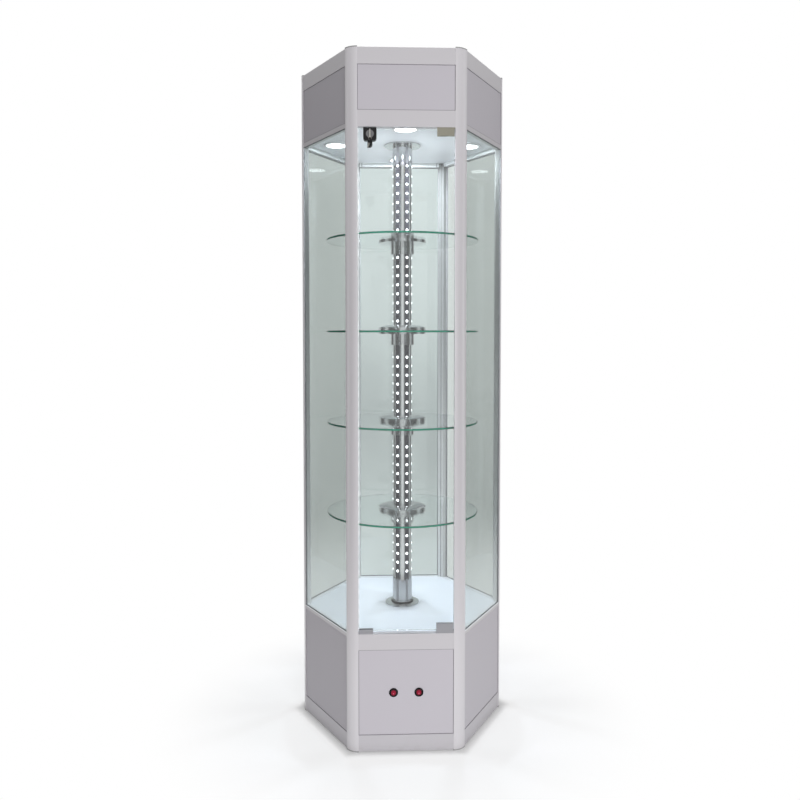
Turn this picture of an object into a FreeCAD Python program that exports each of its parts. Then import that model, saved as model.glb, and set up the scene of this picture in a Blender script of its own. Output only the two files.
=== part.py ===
"""Revolving glass display cabinet: a hexagonal showcase with a turning column of round shelves.

The model stands on the XY plane with +Z up. The Z axis is the axis of the turning column,
and the glass door faces -Y. All lengths are millimetres.

The sheet "dims" holds the driving dimensions. Every other length is a formula over its cells,
and features, sketches and placements are bound to those formulas.
"""
import FreeCAD
import Part
import Sketcher
import math
import os
from FreeCAD import Placement, Rotation, Vector

DRIVING_DIMENSIONS = {
    # Overall
    "cabinet_height": 2000,  # floor to the top of the post caps
    "side_length": 320,  # one side of the hexagon, between the corners of its outer planes

    # Posts
    "post_arc_radius": 40,  # rounded outer corner, tangent to both face planes
    "post_depth": 21,  # depth of the wings behind the face plane
    "post_web": 20,  # where the inner facet starts, along each face from the corner
    "post_core_wall": 2.4,  # wall in front of and behind the hollow core
    "post_core_half_width": 5.5,  # half the width of the hollow core
    "end_cap_thickness": 3,  # plate of the post caps and feet
    "end_cap_plug": 12,  # length of the plug that goes up the hollow core
    "end_cap_play": 0.2,  # play of that plug

    # Grooves for glass and panels
    "groove_lip": 2,  # lip in front of the groove
    "groove_width": 6,  # width of the groove
    "groove_depth": 8,  # depth in posts and rails
    "trim_groove_depth": 5,  # depth in the slim trims
    "groove_play": 0.3,  # play at the bottom of each groove
    "pane_thickness": 5,  # fixed glass
    "panel_thickness": 5,  # closed panels

    # Rails and trims
    "rail_height": 46,  # height of every rail
    "rail_setback": 1,  # rails stand this far behind the posts' face plane
    "rail_wall": 2,  # wall of the rail and trim sections
    "trim_height": 13,  # height of the slim glass-edge trims

    # Levels
    "floor_board_level": 60,  # top of the floor board above the floor
    "deck_edge_level": 344,  # top of the base rail and of the sill trims above the floor
    "deck_recess": 1,  # deck board below that
    "header_height": 221,  # top of the cabinet down to the underside of the header rail and head trims
    "ceiling_rise": 13,  # underside of the ceiling board above the underside of the header rail
    "roof_recess": 8,  # roof board below the top of the top rails

    # Boards and their brackets
    "board_thickness": 16,  # floor, deck, ceiling and roof boards
    "board_play": 0.3,  # play round the boards
    "bracket_width": 12,  # corner bracket
    "bracket_leg": 25,  # length of each leg of the corner bracket
    "bracket_gauge": 2.5,  # sheet of the corner bracket

    # Door glass
    "door_thickness": 6,  # door glass
    "door_setback": 3,  # front of the glass behind the face plane
    "door_side_gap": 1.5,  # gap to the posts
    "door_top_gap": 6,  # gap under the header rail
    "door_bottom_gap": 10,  # gap over the base rail

    # Door pivots
    "hinge_width": 48,  # length of the patches and pivot plates
    "hinge_end_gap": 2.4,  # patch to the post
    "pivot_inset": 12,  # pivot axis to the post
    "hinge_thickness": 11,  # patch over both faces of the glass
    "hinge_height": 20.5,  # patch height
    "hinge_block": 22,  # solid end of the patch that holds the pivot bore
    "hinge_play": 0.3,  # play between patch and glass, and over the pivot plates
    "lower_pivot_height": 8,  # pivot block on the base rail
    "upper_pivot_height": 3,  # pivot plate under the header rail
    "pivot_pin_radius": 4,  # pivot pins
    "pivot_pin_length": 14,  # pivot pins
    "pivot_pin_play": 0.05,  # radial play of the pins

    # Door lock
    "lock_width": 37,  # lock case
    "lock_height": 36,  # lock case
    "lock_front": 10,  # thickness of the case in front of the glass
    "lock_back": 3,  # thickness of the case behind the glass
    "lock_corner": 8,  # radius of the lower corners of the case
    "lock_inset": 16.5,  # case to the left post
    "lock_rise": 2,  # case above the top edge of the glass
    "lock_slack": 0.2,  # play between case and glass edge
    "barrel_radius": 9,  # lock barrel
    "barrel_lip_radius": 11,  # front lip of the barrel
    "barrel_lip": 1.5,  # thickness of that lip
    "barrel_tail_radius": 6,  # rear of the barrel, through the cam
    "barrel_play": 0.06,  # radial play of the barrel
    "barrel_glass_play": 1,  # radial play of the barrel in the glass
    "cam_length": 32,  # barrel axis to the tip of the cam
    "cam_width": 14,  # cam
    "cam_thickness": 3,  # cam
    "cam_gap": 0.6,  # cam behind the header rail
    "cam_tail": 2,  # rear of the barrel past the cam
    "key_bow_height": 24,  # key head
    "key_bow_reach": 8,  # key head in front of the barrel lip
    "key_bow_corner": 3,  # rounded corners of the key head
    "key_gauge": 2.2,  # key
    "key_hole_radius": 2.2,  # ring hole in the key head
    "key_blade_depth": 18,  # key blade inside the barrel
    "key_blade_width": 7,  # key blade

    # Strike clip and magnetic catch
    "strike_width": 41,  # clip along the bottom edge of the glass, and its catch
    "strike_height": 6.5,  # clip
    "strike_gauge": 1.5,  # legs of the clip on each face of the glass
    "strike_end_gap": 0.9,  # clip to the post
    "catch_height": 6.5,  # catch under the clip
    "catch_gap": 0.5,  # catch to the clip, under it and behind it
    "catch_stop": 4,  # thickness of the stop behind the clip

    # Downlights
    "downlight_inset": 73,  # face planes to the centre of each downlight
    "downlight_rim_radius": 38,  # rim under the ceiling
    "downlight_rim_thickness": 3,  # rim under the ceiling
    "downlight_lens_radius": 31,  # lens
    "downlight_lens_thickness": 3,  # lens
    "downlight_lens_play": 0.2,  # lens in the rim
    "downlight_can_radius": 34,  # can above the rim
    "downlight_can_height": 34,  # can above the rim
    "downlight_can_play": 0.5,  # can in the ceiling board

    # Rocker switches
    "switch_spacing": 73,  # between the two switches
    "switch_level": 173,  # above the floor
    "switch_bezel_radius": 12.8,  # bezel on the panel
    "switch_bezel_thickness": 2.2,  # bezel on the panel
    "switch_barrel_radius": 10.8,  # barrel through the panel
    "switch_barrel_depth": 20,  # barrel behind the panel's face
    "switch_barrel_play": 0.3,  # barrel in the panel
    "switch_well_radius": 9.6,  # well that the rocker tips in
    "switch_well_depth": 13,  # well that the rocker tips in
    "rocker_radius": 8.6,  # rocker
    "rocker_front": 4.5,  # pins to the high ends of the rocker's face
    "rocker_back": 2.5,  # pins to the back of the rocker
    "rocker_dip": 1.1,  # how far the middle line lies below the ends
    "rocker_tilt": 9,  # degrees to each side of level
    "rocker_recess": 0.2,  # pressed end behind the face of the bezel
    "rocker_pin_radius": 1,  # pins
    "rocker_pin_play": 0.05,  # radial play of the pins
    "rocker_pin_end_gap": 0.3,  # pins short of the outside of the switch barrel

    # Column
    "column_radius": 30,  # tube
    "column_wall": 3.4,  # tube
    "column_overrun": 6,  # tube above the ceiling board
    "strip_bottom_gap": 77,  # lower end of the light strips above the base rail
    "strip_top_gap": 43,  # upper end of the light strips below the header rail
    "strip_count": 6,  # light strips round the tube
    "strip_phase": 57,  # degrees from +X to the first strip
    "strip_width": 14,  # light strip
    "strip_thickness": 0.9,  # light strip
    "strip_groove_width": 15,  # flat groove in the tube
    "strip_groove_depth": 1.8,  # flat groove in the tube
    "strip_end_gap": 0.5,  # strip to each end of its groove

    # Shelves
    "lowest_shelf_rise": 299,  # mid-plane of the lowest glass above the deck board
    "shelf_pitch": 284,  # between shelves
    "shelf_radius": 235,  # shelf glass
    "shelf_thickness": 6,  # shelf glass
    "shelf_edge": 0.8,  # polished bevel of the shelf glass
    "shelf_bore_play": 1,  # glass round the tube
    "collar_radius": 37,  # sleeve under the glass
    "collar_height": 39,  # sleeve and plate under the glass
    "plate_radius": 74,  # plates that clamp the glass
    "plate_thickness": 4.5,  # lower plate
    "cap_rim": 10,  # height of the upper plate at its rim
    "cap_height": 18,  # height of the upper plate at the tube
    "cap_shoulder_radius": 40,  # where the dome of the upper plate levels out
    "cap_dome_radius": 75,  # arc of that dome
    "cap_wall": 3,  # upper plate, hollow below
    "cap_hub_wall": 6,  # hub of the upper plate round the tube
    "sleeve_play": 0.1,  # collars and caps round the tube

    # Column foot and ceiling bush
    "foot_radius": 53,  # foot plate
    "foot_rim": 2.5,  # foot plate at its rim
    "foot_plate": 5,  # foot plate under the tube
    "foot_collar_radius": 33,  # collar round the tube
    "foot_collar_height": 12,  # collar above the deck
    "foot_gap": 0.5,  # foot plate over the deck
    "foot_spigot": 32,  # spigot up inside the tube
    "foot_bore_play": 0.1,  # foot round the spindle
    "bush_radius": 57,  # ceiling flange
    "bush_thickness": 4,  # ceiling flange
    "bush_sleeve_wall": 3,  # bush round the tube
    "bush_play": 0.08,  # bush round the tube, running
    "bush_board_play": 0.4,  # bush in the ceiling board

    # Drive under the deck
    "spindle_radius": 15,  # spindle
    "spindle_collar_radius": 20,  # thrust collar
    "spindle_hole_play": 2,  # thrust collar in the deck board
    "spindle_drop": 82,  # lower end of the spindle below the deck board
    "spindle_socket_depth": 25,  # socket for the motor shaft
    "running_play": 0.05,  # radial play of shafts in their bearings
    "thrust_gap": 0.3,  # thrust collar over the bearing
    "bearing_flange": 90,  # square flange of the lower bearing
    "bearing_flange_thickness": 8,  # square flange of the lower bearing
    "bearing_boss_radius": 28,  # boss of the lower bearing
    "bearing_height": 24,  # lower bearing
    "bearing_bolt_spacing": 70,  # bolt holes of the lower bearing
    "bearing_bolt_radius": 3.3,  # bolt holes of the lower bearing
    "slip_ring_radius": 30,  # slip ring
    "slip_ring_height": 34,  # slip ring
    "slip_ring_play": 0.4,  # slip ring round the spindle
    "bracket_inner_width": 100,  # motor bracket between its webs
    "bracket_depth": 84,  # motor bracket, front to back
    "bracket_drop": 103,  # motor bracket under the deck board
    "bracket_flange": 22,  # flanges of the motor bracket
    "bracket_sheet": 3,  # sheet of the motor bracket
    "bracket_hole_radius": 18,  # hole for the shaft
    "gearbox_width": 80,  # gearbox
    "gearbox_height": 42,  # gearbox
    "gearbox_corner": 9,  # gearbox corners
    "motor_radius": 30,  # motor can
    "motor_height": 68,  # motor can
    "motor_shaft_radius": 5,  # output shaft
    "motor_shaft_seat": 15,  # output shaft inside the gearbox
    "motor_shaft_end_play": 2,  # output shaft short of the end of its socket

    # Driver and cable entry
    "driver_length": 150,  # light driver
    "driver_width": 50,  # light driver
    "driver_height": 32,  # light driver
    "driver_offset": 130,  # light driver behind the column axis
    "driver_tab": 12,  # fixing tabs
    "driver_tab_gauge": 2.5,  # fixing tabs
    "driver_hole_radius": 2.3,  # screw hole in each tab
    "grommet_level": 120,  # cable grommet above the floor
    "grommet_hole_radius": 8,  # hole in the rear panel
    "grommet_flange_radius": 11,  # cable grommet
    "grommet_flange": 2,  # cable grommet
    "grommet_bore_radius": 4.5,  # cable grommet
    "grommet_play": 0.1,  # cable grommet in its hole
}

DOCUMENT = FreeCAD.newDocument("RevolvingDisplayCabinet")
SHEET = DOCUMENT.addObject("Spreadsheet::Sheet", "dims")
SUB_PARTS = []
OVERSHOOT = 1  # how far a cutter reaches past the solid that it cuts


# ---------------------------------------------------------------- sizes and formulas

def fill_sheet():
    """Write the driving dimensions into the sheet: names in column A, values in column B."""
    for row, (alias, value) in enumerate(DRIVING_DIMENSIONS.items(), 1):
        SHEET.set("A%d" % row, alias)
        SHEET.set("B%d" % row, str(value))
        SHEET.setAlias("B%d" % row, alias)
    DOCUMENT.recompute()


class Size:
    """A length worked out from the sheet: its number now, and the formula that gives it."""

    def __init__(self, value, formula=None):
        self.value = float(value)
        self.formula = formula if formula else "(%r)" % float(value)

    def _with(self, sign, other, value):
        return Size(value, "(%s %s %s)" % (self.formula, sign, size(other).formula))

    def __add__(self, other):
        return self._with("+", other, self.value + size(other).value)

    def __sub__(self, other):
        return self._with("-", other, self.value - size(other).value)

    def __mul__(self, other):
        return self._with("*", other, self.value * size(other).value)

    def __truediv__(self, other):
        return self._with("/", other, self.value / size(other).value)

    def __radd__(self, other):
        return size(other) + self

    def __rsub__(self, other):
        return size(other) - self

    def __rmul__(self, other):
        return size(other) * self

    def __neg__(self):
        return Size(-self.value, "(0 - %s)" % self.formula)


def size(number):
    """Turn a plain number into a Size, and leave a Size as it is."""
    return number if isinstance(number, Size) else Size(number)


def cell(alias):
    """The Size held by one cell of the sheet."""
    return Size(SHEET.get(alias), "dims." + alias)


def bind(thing, path, length):
    """Bind a property or constraint of an object to a formula over the sheet."""
    thing.setExpression(path, size(length).formula)


def cosine(degrees):
    """The cosine of an angle in degrees."""
    degrees = size(degrees)
    return Size(math.cos(math.radians(degrees.value)), "cos(%s)" % degrees.formula)


def sine(degrees):
    """The sine of an angle in degrees."""
    degrees = size(degrees)
    return Size(math.sin(math.radians(degrees.value)), "sin(%s)" % degrees.formula)


COS30 = cosine(30)
SIN30 = sine(30)
TAN30 = SIN30 / COS30


# ---------------------------------------------------------------- sketches

def origin_plane(body, role):
    """One of a body's own origin planes or axes, found by its role."""
    return next(item for item in body.Origin.OriginFeatures if item.Role == role)


def new_body(label):
    """A body that is written as one sub-part; it may hold several equal solids."""
    body = DOCUMENT.addObject("PartDesign::Body", label)
    body.Label = label
    body.AllowCompound = True
    SUB_PARTS.append(body)
    return body


def new_sketch(body, plane, shift=(0, 0, 0)):
    """A sketch on one of the body's planes, shifted in the sketch's own axes."""
    sketch = body.newObject("Sketcher::SketchObject", body.Label + "_sketch")
    sketch.AttachmentSupport = [(origin_plane(body, plane), "")]
    sketch.MapMode = "FlatFace"
    offset = [size(part) for part in shift]
    sketch.AttachmentOffset = Placement(Vector(*[part.value for part in offset]), Rotation())
    for axis, part in zip("xyz", offset):
        if part.value:
            bind(sketch, ".AttachmentOffset.Base." + axis, part)
    return sketch


def constrain(sketch, kind, length, *geometry):
    """Add one constraint with a value and bind it to its formula."""
    length = size(length)
    index = sketch.addConstraint(Sketcher.Constraint(kind, *geometry, length.value))
    if "dims." in length.formula:
        bind(sketch, "Constraints[%d]" % index, length)


def pin_point(sketch, x, y, geometry, position):
    """Hold one point of the sketch at x, y from the sketch's origin."""
    constrain(sketch, "DistanceX", x, -1, 1, geometry, position)
    constrain(sketch, "DistanceY", y, -1, 1, geometry, position)


def arc_middle(start, end, radius):
    """The middle point of the shorter arc that turns left from start to end."""
    chord = end - start
    rise = radius - math.sqrt(radius ** 2 - (chord.Length / 2) ** 2)
    right = Vector(chord.y, -chord.x, 0).normalize()
    return (start + end) * 0.5 + right * rise


def draw_outline(sketch, corners):
    """Draw a closed outline. A corner is (x, y), or (x, y, radius) where an arc leads to it.

    A positive radius is an arc that turns left as seen along the outline, a negative one
    an arc that turns right.
    """
    corners = [tuple(size(part) for part in corner) for corner in corners]
    points = [Vector(corner[0].value, corner[1].value, 0) for corner in corners]
    first = sketch.GeometryCount
    ends = []
    for index, corner in enumerate(corners):
        start, end = points[index - 1], points[index]
        if len(corner) == 2:
            sketch.addGeometry(Part.LineSegment(start, end))
            ends.append((1, 2))
            continue
        turns_left = corner[2].value > 0
        low, high = (start, end) if turns_left else (end, start)
        middle = arc_middle(low, high, abs(corner[2].value))
        sketch.addGeometry(Part.Arc(low, middle, high))
        ends.append((1, 2) if turns_left else (2, 1))
    count = len(corners)
    for index, corner in enumerate(corners):
        following = (index + 1) % count
        sketch.addConstraint(Sketcher.Constraint(
            "Coincident", first + index, ends[index][1], first + following, ends[following][0]))
        pin_point(sketch, corner[0], corner[1], first + index, ends[index][1])
        if len(corner) == 3:
            radius = corner[2] if corner[2].value > 0 else -corner[2]
            constrain(sketch, "Radius", radius, first + index)


def draw_rectangle(sketch, left, right, bottom, top):
    """Draw a rectangle between two positions each way."""
    draw_outline(sketch, [(left, bottom), (right, bottom), (right, top), (left, top)])


def draw_circle(sketch, x, y, radius):
    """Draw a circle."""
    x, y, radius = size(x), size(y), size(radius)
    circle = Part.Circle(Vector(x.value, y.value, 0), Vector(0, 0, 1), radius.value)
    index = sketch.addGeometry(circle)
    pin_point(sketch, x, y, index, 3)
    constrain(sketch, "Radius", radius, index)


# ---------------------------------------------------------------- features

def add_pad(body, sketch, length, symmetric=False):
    """Pad a sketch along its normal, or both ways from its plane."""
    pad = body.newObject("PartDesign::Pad", body.Label + "_pad")
    pad.Profile = sketch
    pad.SideType = "Symmetric" if symmetric else "One side"
    pad.Length = size(length).value
    bind(pad, "Length", length)
    body.Tip = pad
    return pad


def add_pocket(body, sketch, depth, along_normal=False, symmetric=False):
    """Cut a sketch into the body, and make sure that the cut took something away."""
    DOCUMENT.recompute()
    before = body.Shape.Volume
    pocket = body.newObject("PartDesign::Pocket", body.Label + "_pocket")
    pocket.Profile = sketch
    pocket.SideType = "Symmetric" if symmetric else "One side"
    pocket.Length = size(depth).value
    pocket.Reversed = along_normal
    bind(pocket, "Length", depth)
    body.Tip = pocket
    DOCUMENT.recompute()
    if body.Shape.Volume > before - 1e-6:
        raise RuntimeError("%s: a pocket cut nothing" % body.Label)
    return pocket


def add_revolution(body, sketch):
    """Turn a sketch on the XZ plane about the body's Z axis."""
    turned = body.newObject("PartDesign::Revolution", body.Label + "_revolution")
    turned.Profile = sketch
    turned.ReferenceAxis = (sketch, ["V_Axis"])
    turned.Angle = 360
    body.Tip = turned
    return turned


def repeat_around(body, features, count, angle=360, clockwise=False):
    """Repeat features about the column axis."""
    DOCUMENT.recompute()
    pattern = body.newObject("PartDesign::PolarPattern", body.Label + "_pattern")
    pattern.Originals = features
    pattern.Axis = (origin_plane(body, "Z_Axis"), [""])
    pattern.Angle = angle
    pattern.Reversed = clockwise
    pattern.Occurrences = int(size(count).value)
    if "dims." in size(count).formula:
        bind(pattern, "Occurrences", count)
    body.Tip = pattern
    return pattern


def repeat_upwards(body, features, count, pitch):
    """Repeat features along the column axis."""
    pattern = body.newObject("PartDesign::LinearPattern", body.Label + "_pattern")
    pattern.Originals = features
    pattern.Direction = (origin_plane(body, "Z_Axis"), [""])
    pattern.Occurrences = count
    pattern.Length = (pitch * (count - 1)).value
    bind(pattern, "Length", pitch * (count - 1))
    body.Tip = pattern
    return pattern


def turn_to(thing, degrees):
    """Turn a sub-part about the column axis."""
    degrees = size(degrees)
    thing.Placement = Placement(Vector(), Rotation(Vector(0, 0, 1), degrees.value))
    if "dims." in degrees.formula:
        bind(thing, ".Placement.Rotation.Angle", degrees)


def move_to(thing, x, y, z, rotation=None):
    """Place a sub-part, each coordinate bound to its formula."""
    places = [size(x), size(y), size(z)]
    thing.Placement = Placement(Vector(*[place.value for place in places]), rotation or Rotation())
    for axis, place in zip("xyz", places):
        if "dims." in place.formula:
            bind(thing, ".Placement.Base." + axis, place)


def add_cylinder(label, radius, low, height, x=0, y=0):
    """A helper cylinder, standing on the level low."""
    cylinder = DOCUMENT.addObject("Part::Cylinder", label)
    bind(cylinder, "Radius", radius)
    bind(cylinder, "Height", height)
    move_to(cylinder, x, y, low)
    return cylinder


# ---------------------------------------------------------------- shared geometry

fill_sheet()

FACE_COUNT = 6
FACE_STEP = 360 / FACE_COUNT

corner_reach = cell("side_length")
face_distance = cell("side_length") * COS30
post_seam = cell("post_arc_radius") * TAN30
opening_half = cell("side_length") / 2 - post_seam
rail_length = opening_half * 2
facet_distance = SIN30 * cell("post_web") + COS30 * cell("post_depth")
facet_reach = corner_reach - facet_distance

frame_bottom = cell("end_cap_thickness")
frame_top = cell("cabinet_height") - cell("end_cap_thickness")
frame_height = frame_top - frame_bottom

grip = cell("groove_depth") - cell("groove_play")
trim_grip = cell("trim_groove_depth") - cell("groove_play")
sheet_length = rail_length + grip * 2

door_head = cell("cabinet_height") - cell("header_height")
ceiling = door_head + cell("ceiling_rise")
deck = cell("deck_edge_level") - cell("deck_recess")
deck_underside = deck - cell("board_thickness")
top_rail_bottom = frame_top - cell("rail_height")
kick_rail_top = frame_bottom + cell("rail_height")
base_rail_bottom = cell("deck_edge_level") - cell("rail_height")
header_rail_top = door_head + cell("rail_height")
head_trim_top = door_head + cell("trim_height")
sill_trim_bottom = cell("deck_edge_level") - cell("trim_height")

board_apothem = face_distance - cell("post_depth") - cell("board_play")
board_corner_reach = facet_reach - cell("board_play")

column_bottom = deck + cell("foot_gap") + cell("foot_plate")
column_top = ceiling + cell("board_thickness") + cell("column_overrun")
shelf_bore = cell("column_radius") + cell("shelf_bore_play")
sleeve_bore = cell("column_radius") + cell("sleeve_play")
column_bore = cell("column_radius") - cell("column_wall")
strip_seat = cell("column_radius") - cell("strip_groove_depth")
foot_top = column_bottom + cell("foot_spigot")
strip_bottom = cell("deck_edge_level") + cell("strip_bottom_gap")
strip_top = door_head - cell("strip_top_gap")
bearing_bottom = deck_underside - cell("bearing_height")
spindle_bottom = deck_underside - cell("spindle_drop")
bracket_bottom = deck_underside - cell("bracket_drop")
downlight_circle = face_distance - cell("downlight_inset")
SHELF_COUNT = 4
DOWNLIGHT_COUNT = 4


def at_depth(depth):
    """The Y of a plane that lies the given depth behind the front face plane."""
    return size(depth) - face_distance


def door_plane(depth):
    """Shift that puts an XZ sketch on the plane at the given depth behind the front face."""
    return (0, 0, face_distance - depth)


def shelf_level(number):
    """Mid-plane of a shelf glass, counted from the lowest, 1."""
    return deck + cell("lowest_shelf_rise") + cell("shelf_pitch") * (number - 1)


# ---------------------------------------------------------------- frame

def wing_point(along, depth, upper=True):
    """A point of the post section, given along a face from its corner and behind that face."""
    x = -(SIN30 * along + COS30 * depth)
    y = COS30 * along - SIN30 * depth
    return (x, y if upper else -y)


def wing_end(with_grooves, upper):
    """The end of one wing of the post, from the outer arc to the inner facet."""
    lip, width = cell("groove_lip"), cell("groove_width")
    bottom = post_seam - cell("groove_depth")
    points = []
    if with_grooves:
        points += [(post_seam, lip), (bottom, lip), (bottom, lip + width), (post_seam, lip + width)]
    points += [(post_seam, cell("post_depth")), (cell("post_web"), cell("post_depth"))]
    return [wing_point(along, depth, upper) for along, depth in points]


def draw_post_outline(sketch, with_grooves=True):
    """The post's outline round its corner: outer arc, two wing ends and the inner facet."""
    start = wing_point(post_seam, 0, upper=False)
    end = wing_point(post_seam, 0, upper=True)
    outline = [start, end + (cell("post_arc_radius"),)]
    outline += wing_end(with_grooves, upper=True)
    outline += list(reversed(wing_end(with_grooves, upper=False)))
    draw_outline(sketch, outline)


def draw_post_core(sketch, play=0):
    """The hollow core of the post, or a plug that fits it with some play."""
    apex = cell("post_arc_radius") / COS30 - cell("post_arc_radius")
    front = -(apex + cell("post_core_wall") + play)
    back = play + cell("post_core_wall") - facet_distance
    half = cell("post_core_half_width") - play
    draw_rectangle(sketch, back, front, -half, half)


def make_post(label, face_angle):
    """One corner post: an extrusion with a rounded corner, two grooves and a hollow core."""
    body = new_body(label)
    section = new_sketch(body, "XY_Plane")
    draw_post_outline(section)
    draw_post_core(section)
    add_pad(body, section, frame_height)
    move_to(body, corner_reach * cosine(face_angle), corner_reach * sine(face_angle),
            frame_bottom, Rotation(Vector(0, 0, 1), face_angle))


def make_end_caps():
    """A plastic cap for each end of each post, with a plug in the hollow core."""
    body = new_body("post_end_caps")
    play = cell("end_cap_play")
    plates = []
    for plate_level, plug_level in (
            (size(0), frame_bottom),
            (frame_top, frame_top - cell("end_cap_plug"))):
        plate = new_sketch(body, "XY_Plane", (corner_reach, 0, plate_level))
        draw_post_outline(plate, with_grooves=False)
        plates.append(add_pad(body, plate, cell("end_cap_thickness")))
        plug = new_sketch(body, "XY_Plane", (corner_reach, 0, plug_level))
        draw_post_core(plug, play)
        plates.append(add_pad(body, plug, cell("end_cap_plug")))
    repeat_around(body, plates, FACE_COUNT)


def draw_rail_section(sketch, bottom, top, grooves, groove_depth):
    """A rail section seen along the rail: grooves at its edges, and a hollow core."""
    front, back = at_depth(cell("rail_setback")), at_depth(cell("post_depth"))
    lip = at_depth(cell("groove_lip"))
    far = lip + cell("groove_width")
    outline = [(front, bottom)]
    if "below" in grooves:
        roof = bottom + groove_depth
        outline += [(lip, bottom), (lip, roof), (far, roof), (far, bottom)]
    outline += [(back, bottom), (back, top)]
    if "above" in grooves:
        floor = top - groove_depth
        outline += [(far, top), (far, floor), (lip, floor), (lip, top)]
    outline += [(front, top)]
    draw_outline(sketch, outline)


def draw_rail_core(sketch, bottom, top, grooves):
    """The hollow of a rail, a wall away from its outside and from its groove."""
    wall = cell("rail_wall")
    front, back = at_depth(cell("rail_setback")), at_depth(cell("post_depth"))
    low = bottom + wall + (cell("groove_depth") if "below" in grooves else 0)
    high = top - wall - (cell("groove_depth") if "above" in grooves else 0)
    draw_rectangle(sketch, front + wall, back - wall, low, high)


def pad_rail(body, bottom, grooves):
    """Pad one full-height rail across the front opening."""
    top = bottom + cell("rail_height")
    section = new_sketch(body, "YZ_Plane")
    draw_rail_section(section, bottom, top, grooves, cell("groove_depth"))
    draw_rail_core(section, bottom, top, grooves)
    return add_pad(body, section, rail_length, symmetric=True)


def make_rail_ring(label, bottom, grooves):
    """Six equal rails, one between each pair of posts."""
    body = new_body(label)
    repeat_around(body, [pad_rail(body, bottom, grooves)], FACE_COUNT)


def make_front_rail(label, bottom, grooves):
    """A single rail across the front."""
    pad_rail(new_body(label), bottom, grooves)


def pad_trim(body, bottom):
    """Pad one slim trim with a groove above and a groove below, and a hollow behind them."""
    top = bottom + cell("trim_height")
    section = new_sketch(body, "YZ_Plane")
    draw_rail_section(section, bottom, top, ("below", "above"), cell("trim_groove_depth"))
    wall = cell("rail_wall")
    hollow_front = at_depth(cell("groove_lip") + cell("groove_width")) + wall
    hollow_back = at_depth(cell("post_depth")) - wall
    draw_rectangle(section, hollow_front, hollow_back, bottom + wall, top - wall)
    return add_pad(body, section, rail_length, symmetric=True)


def make_trims():
    """Slim trims that join glass and panels, over and under the five fixed panes."""
    body = new_body("glass_edge_trims")
    trims = [pad_trim(body, sill_trim_bottom), pad_trim(body, door_head)]
    repeat_around(body, trims, FACE_COUNT - 1, 360 - 2 * FACE_STEP)
    turn_to(body, FACE_STEP)


def make_frame():
    """Posts, caps, rails and trims."""
    names = ["post_right", "post_rear_right", "post_rear_left", "post_left",
             "post_front_left", "post_front_right"]
    for index, name in enumerate(names):
        make_post(name, index * FACE_STEP)
    make_end_caps()
    make_rail_ring("top_rails", top_rail_bottom, ("below",))
    make_rail_ring("kick_rails", frame_bottom, ("above",))
    make_front_rail("header_lower_rail", door_head, ("above",))
    make_front_rail("base_upper_rail", base_rail_bottom, ("below",))
    make_trims()


# ---------------------------------------------------------------- glass and panels

def pad_sheet(body, bottom, top, thickness, holes=()):
    """Pad an upright sheet that sits in the middle of the grooves at the front."""
    front = cell("groove_lip") + (cell("groove_width") - thickness) / 2
    outline = new_sketch(body, "XZ_Plane", door_plane(front + thickness))
    half = sheet_length / 2
    draw_rectangle(outline, -half, half, bottom, top)
    for x, z, radius in holes:
        draw_circle(outline, x, z, radius)
    return add_pad(body, outline, thickness)


def make_panes():
    """The five fixed panes, each between two posts and two trims."""
    names = ["glass_pane_right_front", "glass_pane_right_rear", "glass_pane_rear",
             "glass_pane_left_rear", "glass_pane_left_front"]
    for index, name in enumerate(names):
        body = new_body(name)
        pad_sheet(body, cell("deck_edge_level") - trim_grip, door_head + trim_grip,
                  cell("pane_thickness"))
        turn_to(body, FACE_STEP * (index + 1))


def make_panels():
    """Closed panels of the header and the base."""
    thickness = cell("panel_thickness")
    header_top = top_rail_bottom + grip
    base_bottom = kick_rail_top - grip

    header_front = new_body("front_header_panel")
    pad_sheet(header_front, header_rail_top - grip, header_top, thickness)

    header_sides = new_body("side_header_panels")
    panel = pad_sheet(header_sides, head_trim_top - trim_grip, header_top, thickness)
    repeat_around(header_sides, [panel], FACE_COUNT - 1, 360 - 2 * FACE_STEP)
    turn_to(header_sides, FACE_STEP)

    base_front = new_body("base_front_panel")
    hole = cell("switch_barrel_radius") + cell("switch_barrel_play")
    offset = cell("switch_spacing") / 2
    level = cell("switch_level")
    pad_sheet(base_front, base_bottom, base_rail_bottom + grip, thickness,
              [(-offset, level, hole), (offset, level, hole)])

    base_sides = new_body("base_side_panels")
    rear = pad_sheet(base_sides, base_bottom, sill_trim_bottom + trim_grip, thickness)
    repeat_around(base_sides, [rear], 3, 2 * FACE_STEP)
    repeat_around(base_sides, [rear], 3, 2 * FACE_STEP, clockwise=True)
    cable_hole = new_sketch(base_sides, "XZ_Plane", door_plane(cell("groove_lip") + cell("groove_width")))
    draw_circle(cable_hole, 0, cell("grommet_level"), cell("grommet_hole_radius"))
    add_pocket(base_sides, cable_hole, cell("groove_width"), along_normal=True)
    turn_to(base_sides, 3 * FACE_STEP)


# ---------------------------------------------------------------- boards

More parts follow.
